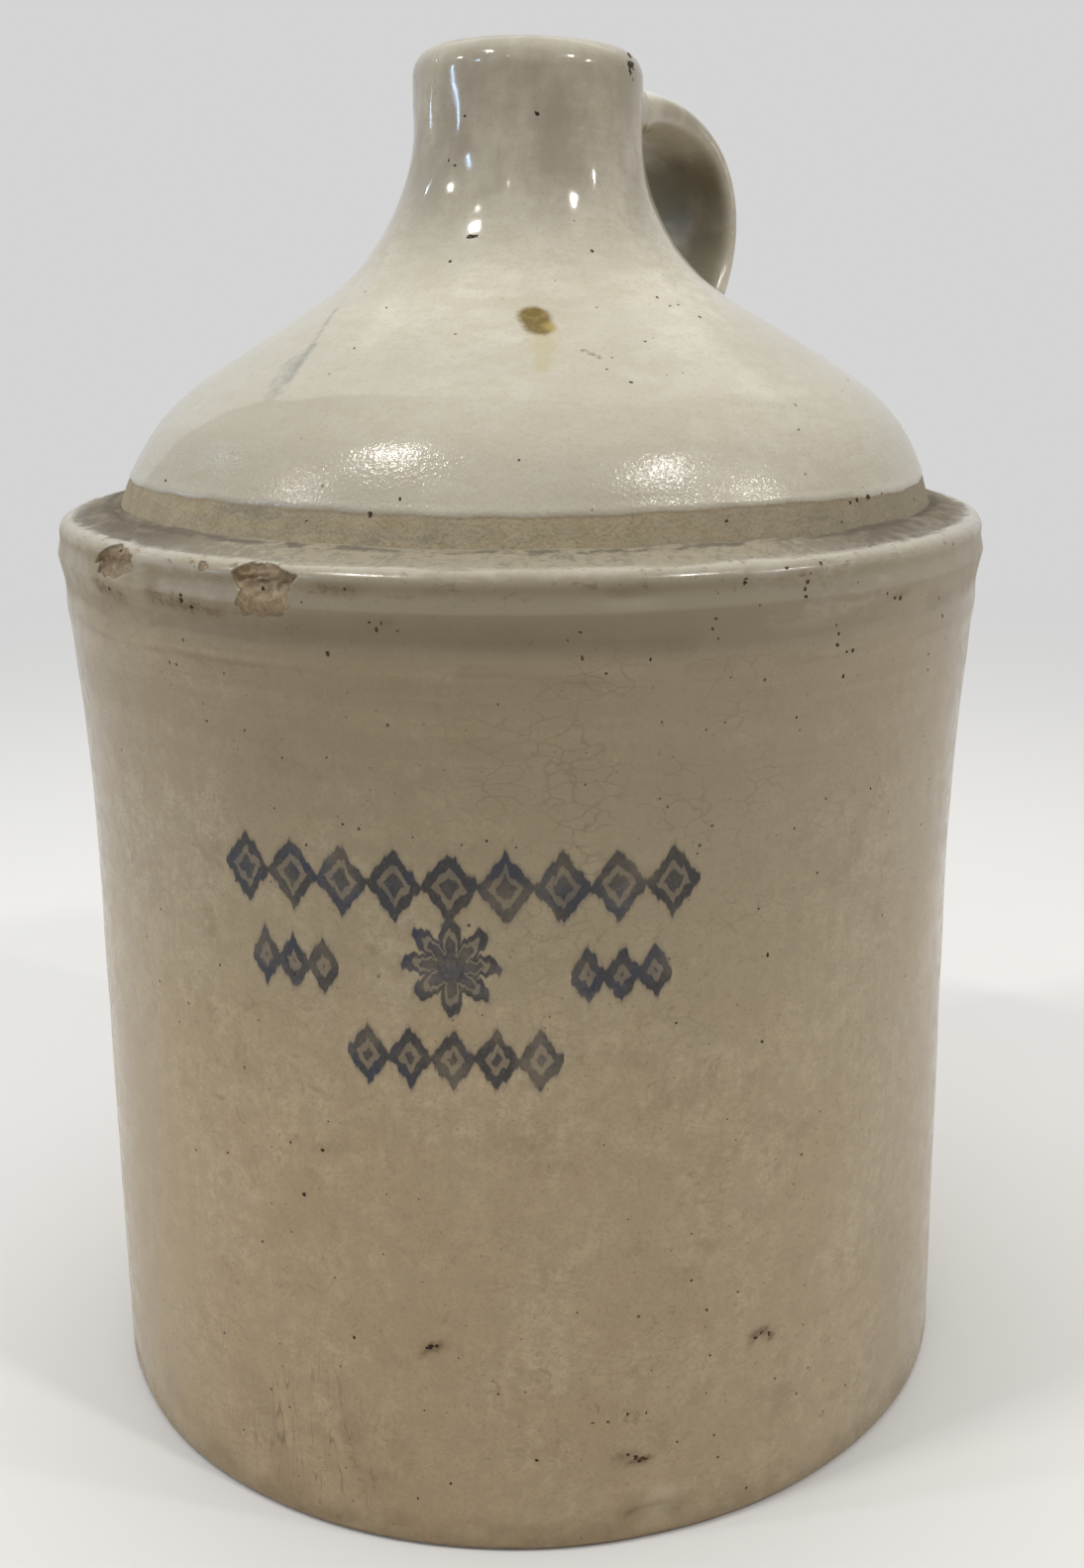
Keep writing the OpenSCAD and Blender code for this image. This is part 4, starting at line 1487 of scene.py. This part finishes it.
# Iron specks and pits that the photograph shows, as pixels with their width in pixels
SEEN_SPECKS = [
    (633, 60, 7), (633, 67, 8), (632, 73, 6), (634, 80, 3), (543, 115, 5), (468, 117, 3),
    (451, 161, 3), (457, 166, 3), (357, 349, 3), (389, 308, 3), (367, 292, 3), (453, 262, 4),
    (474, 237, 7), (598, 253, 4), (663, 300, 4), (706, 321, 4), (676, 309, 3), (684, 308, 3),
    (637, 386, 4), (651, 345, 3), (612, 373, 3), (854, 387, 3), (802, 410, 3), (805, 435, 3),
    (524, 464, 3), (403, 503, 4), (373, 516, 5), (307, 525, 3), (161, 483, 4), (733, 526, 3),
    (875, 501, 4), (921, 504, 4), (849, 527, 3), (829, 568, 3), (814, 596, 4), (754, 583, 3),
    (723, 624, 3), (896, 598, 3), (950, 603, 3), (586, 638, 3), (846, 631, 3), (119, 549, 4),
    (259, 597, 4), (113, 566, 3), (330, 662, 5), (170, 668, 3), (177, 670, 3), (183, 647, 3),
    (208, 728, 3), (284, 765, 3), (345, 832, 3), (308, 853, 3), (279, 959, 3), (296, 984, 3),
    (221, 974, 3), (161, 990, 3), (122, 757, 3), (181, 1031, 3), (190, 1012, 3), (293, 1153, 3),
    (325, 1161, 4), (307, 1205, 6), (230, 1163, 3), (719, 833, 3), (674, 814, 3), (491, 849, 3),
    (683, 1032, 3), (726, 645, 3), (855, 658, 3), (852, 682, 5), (937, 676, 3), (804, 724, 3),
    (939, 786, 3), (834, 806, 3), (879, 796, 3), (802, 836, 3), (931, 832, 3), (825, 881, 3),
    (766, 917, 3), (775, 964, 4), (915, 985, 3), (769, 1051, 4), (892, 924, 3), (435, 1357, 5),
    (358, 1349, 4), (247, 1442, 3), (422, 1511, 3), (455, 1496, 3), (542, 1473, 4),
    (503, 1406, 3), (634, 1467, 4), (641, 1470, 5), (648, 1470, 4), (633, 1426, 3),
    (652, 1425, 3), (598, 1435, 3), (613, 1434, 3), (683, 1454, 3), (720, 1447, 3),
    (724, 1469, 3), (752, 1500, 3), (713, 1321, 3), (697, 1291, 3), (744, 1303, 3),
    (716, 1367, 3), (814, 1379, 3), (852, 1397, 3), (588, 666, 4), (612, 680, 3), (657, 667, 3),
    (762, 1349, 4), (775, 1345, 5), (768, 1343, 4), (433, 1359, 5), (441, 1357, 5),
    (645, 1473, 5), (651, 1471, 4), (182, 604, 5), (192, 612, 4), (109, 593, 4), (346, 594, 3),
    (379, 634, 4), (384, 628, 3), (372, 628, 3), (720, 634, 3), (846, 652, 4), (848, 641, 3),
    (861, 657, 4), (814, 603, 4), (817, 589, 5), (753, 587, 4), (910, 602, 5), (904, 603, 4),
    (952, 623, 4), (938, 660, 3), (864, 503, 5), (857, 507, 4), (874, 500, 5), (888, 498, 3),
    (733, 526, 4), (878, 550, 3), (829, 567, 4), (795, 572, 4),
]
SPECK_SIDES = 9
SPECK_SEED = 77
# Radius of a speck as a share of its width in the photograph
SPECK_SHARE = 0.80
# Heights of a speck's edge, shoulder and middle over the glaze, in mm
SPECK_EDGE, SPECK_SHOULDER, SPECK_TOP = -0.04, 0.03, 0.05
# Specks strewn over the far side, how far from the photograph's side they keep, in degrees, and
# their least and largest radius, in mm
SCATTERED_SPECKS = 170
SCATTER_KEEP_OUT = 70.0
SCATTERED_RADII = (0.25, 0.55)
# The made crock and dome, whose unevenness the plain outline doesn't have
SURFACES = {}


def surface_normal(place):
    """Outward direction of the plain outline at a place."""
    outwards, upwards = outline_normal(place[2])
    turn = math.radians(bearing(place))
    return np.array([math.cos(turn) * outwards, math.sin(turn) * outwards, upwards])


def settle(place):
    """The place where the made crock or dome is met from outside along the plain normal."""
    tree = SURFACES["crock" if place[2] < LEDGE_Z else "dome"]
    normal = Vector(surface_normal(place))
    hit = tree.ray_cast(Vector(place * MM) + normal * 6 * MM, -normal, 20 * MM)
    return np.array(hit[0]) / MM if hit[0] is not None else place


def speck_rings(middle, normal, radius, random):
    """Points of one speck: an uneven ring just under the glaze and a low middle above it."""
    side = np.cross(normal, (0.0, 0.0, 1.0))
    side /= np.linalg.norm(side)
    up = np.cross(side, normal)
    turn = np.linspace(0, 2 * math.pi, SPECK_SIDES, endpoint=False)
    reach = radius * random.uniform(0.65, 1.3, SPECK_SIDES)
    stretch = random.uniform(0.7, 1.35)
    across, along = np.cos(turn) * reach / stretch, np.sin(turn) * reach * stretch
    ring = middle + normal * SPECK_EDGE + across[:, None] * side + along[:, None] * up
    inner = middle + normal * SPECK_SHOULDER + 0.55 * (ring - middle)
    return np.concatenate([ring, inner, [middle + normal * SPECK_TOP]])


def speck_faces(first):
    """Faces of the speck whose points start at number first."""
    sides = SPECK_SIDES
    faces = []
    for i in range(sides):
        j = (i + 1) % sides
        faces.append([first + i, first + j, first + sides + j, first + sides + i])
        faces.append([first + sides + i, first + sides + j, first + 2 * sides])
    return faces


def scattered_places(random):
    """Places of specks on the sides that the photograph doesn't show."""
    places = []
    away = bearing(from_photo(0.0, 1.0, 0.0))
    for _ in range(SCATTERED_SPECKS):
        turn = away + random.uniform(-180 + SCATTER_KEEP_OUT, 180 - SCATTER_KEEP_OUT)
        on_crock = random.uniform(8, LEDGE_Z - 8)
        z = random.choice([on_crock, random.uniform(GLAZE_LINE + 3, JUG_H - 8)])
        places.append((turn, z))
    return places


def make_specks(material):
    random = np.random.default_rng(SPECK_SEED)
    points, faces = [], []

    def add(place, radius):
        faces.extend(speck_faces(len(points) * (2 * SPECK_SIDES + 1)))
        points.append(speck_rings(settle(place), surface_normal(place), radius, random))

    for x, y, width in SEEN_SPECKS:
        add(seen_at((x, y)), SPECK_SHARE * width * span_at((x, y)))
    for turn, z in scattered_places(random):
        r = outline_radius(z)
        add(np.array([r * cosd(turn), r * sind(turn), z]), random.uniform(*SCATTERED_RADII))
    return add_piece("iron_specks", np.concatenate(points), faces, material)


# Stage: the floor, which reaches FLOOR_HALF metres to each side, and a plain background
FLOOR_COLOUR = (0.74, 0.735, 0.72)
FLOOR_HALF = 5.0
BACKGROUND = (0.66, 0.66, 0.66)
WORLD_LIGHT = 0.50
# Where the floor begins to fade into the background and has done so, in mm from the axis
FLOOR_FADE = (300.0, 1300.0)
# What the floor gives back as light on the jug: its colour near the jug, and farther away
FLOOR_BOUNCE = (0.47, 0.34, 0.20)
FAR_BOUNCE = (0.090, 0.075, 0.058)


def seen_directly(tree):
    """1 for what the camera sees, straight or in a reflection, and 0 for light on the jug."""
    path = tree.nodes.new("ShaderNodeLightPath")
    result = path.outputs["Is Camera Ray"]
    for name in ("Is Glossy Ray", "Is Transmission Ray"):
        either = tree.nodes.new("ShaderNodeMath")
        either.operation = "MAXIMUM"
        tree.links.new(result, either.inputs[0])
        tree.links.new(path.outputs[name], either.inputs[1])
        result = either.outputs[0]
    return result


def make_floor():
    mesh = bpy.data.meshes.new("floor")
    corners = [(x * FLOOR_HALF, y * FLOOR_HALF, 0) for x, y in ((-1, -1), (1, -1), (1, 1), (-1, 1))]
    mesh.from_pydata(corners, [], [[0, 1, 2, 3]])
    floor = bpy.data.objects.new("floor", mesh)
    bpy.context.scene.collection.objects.link(floor)
    s = Shader("floor")
    x, y, _ = s.axes()
    seen = seen_directly(s.tree)
    s.finish(s.mix(seen, FLOOR_BOUNCE, FLOOR_COLOUR), 0.85)
    glow = s.add("Emission", Color=s.mix(seen, FAR_BOUNCE, BACKGROUND))
    blend = s.add("MixShader", Fac=s.hypot(x, y).ramp(*FLOOR_FADE))
    s.put(blend.inputs[1], s.surface.outputs[0])
    s.put(blend.inputs[2], glow.outputs[0])
    s.put(s.tree.nodes["Material Output"].inputs["Surface"], blend.outputs[0])
    mesh.materials.append(s.material)


def make_world():
    """Soft even light, with a pale background for the camera and for reflections."""
    world = bpy.data.worlds.new("studio")
    bpy.context.scene.world = world
    world.use_nodes = True
    tree = world.node_tree
    light = tree.nodes["Background"]
    light.inputs["Color"].default_value = (1.0, 1.0, 1.0, 1.0)
    light.inputs["Strength"].default_value = WORLD_LIGHT
    seen = tree.nodes.new("ShaderNodeBackground")
    seen.inputs["Color"].default_value = (*BACKGROUND, 1.0)
    blend = tree.nodes.new("ShaderNodeMixShader")
    tree.links.new(seen_directly(tree), blend.inputs[0])
    tree.links.new(light.outputs[0], blend.inputs[1])
    tree.links.new(seen.outputs[0], blend.inputs[2])
    tree.links.new(blend.outputs[0], tree.nodes["World Output"].inputs["Surface"])


# Lamps: bearing in the photograph (0 away from the camera, 90 to the right), height in
# degrees, distance and size in metres, power in watts, and colour
LAMPS = {
    "ceiling": (0, 77, 1.5, (1.3, 1.3), 10.4, (1.0, 0.985, 0.96)),
    "back_panel": (8, 50, 1.5, (1.5, 0.30), 0.7, (1.0, 0.99, 0.97)),
    "left_side": (-82, 20, 1.4, (0.8, 0.5), 0.42, (1.0, 0.93, 0.80)),
    "right_side": (84, 20, 1.4, (0.8, 0.5), 0.40, (1.0, 0.98, 0.95)),
    "left_high": (-121, 57, 1.3, (0.13, 0.06), 4.0, (1.0, 0.97, 0.92)),
    "left_low": (-105, 35, 1.3, (0.045, 0.045), 1.3, (1.0, 0.97, 0.92)),
    "left_small": (-124, 50, 1.3, (0.03, 0.03), 0.30, (1.0, 0.97, 0.92)),
    "right_high": (133, 46, 1.3, (0.075, 0.06), 3.4, (1.0, 0.98, 0.95)),
    "right_low": (113, 30, 1.3, (0.038, 0.038), 2.0, (1.0, 0.98, 0.95)),
    "window_near": (-105, 10, 1.3, (0.035, 0.26), 1.1, (0.50, 0.70, 1.0)),
    "window_far": (-124, 27, 1.3, (0.035, 0.12), 0.6, (0.45, 0.66, 1.0)),
    "window_side": (-68, 29, 1.3, (0.034, 0.014), 0.17, (0.42, 0.68, 1.0)),
    "front_small": (-161, 40, 1.3, (0.022, 0.022), 0.14, (1.0, 0.97, 0.92)),
    "window_left": (-72, 8, 1.3, (0.04, 0.09), 0.25, (0.55, 0.74, 1.0)),
    "window_right": (80, 6, 1.3, (0.03, 0.08), 0.18, (0.90, 0.95, 1.0)),
}
UNSEEN_IN_GLAZE = {"ceiling", "left_side", "right_side"}


def make_lamps():
    for name, (turn, rise, distance, size, power, colour) in LAMPS.items():
        data = bpy.data.lights.new(name, "AREA")
        data.shape = "RECTANGLE"
        data.size, data.size_y = size
        data.energy, data.color = power, colour
        lamp = bpy.data.objects.new(name, data)
        lamp.visible_glossy = name not in UNSEEN_IN_GLAZE
        toward = Vector(from_photo(sind(turn) * cosd(rise), cosd(turn) * cosd(rise), sind(rise)))
        aim = Vector((0.0, 0.0, LEDGE_Z * MM))
        lamp.location = aim + toward * distance
        lamp.rotation_euler = toward.to_track_quat("Z", "Y").to_euler()
        bpy.context.scene.collection.objects.link(lamp)


def clear_start_up():
    """Removes whatever Blender started with, and keeps the frame."""
    kept = set(frame["nodes"].values()) | set(frame["bodies"].values())
    for thing in list(bpy.data.objects):
        if thing not in kept:
            bpy.data.objects.remove(thing)


def main():
    clear_start_up()
    bpy.context.scene.view_settings.view_transform = "Standard"
    make_camera()
    glaze = dome_glaze()
    crock = make_crock(crock_glaze())
    dome = make_dome(glaze)
    make_luting(luting_clay())
    make_handle(glaze)
    depsgraph = bpy.context.evaluated_depsgraph_get()
    SURFACES["crock"] = BVHTree.FromObject(crock, depsgraph)
    SURFACES["dome"] = BVHTree.FromObject(dome, depsgraph)
    make_specks(iron_speck())
    make_floor()
    make_world()
    make_lamps()


main()
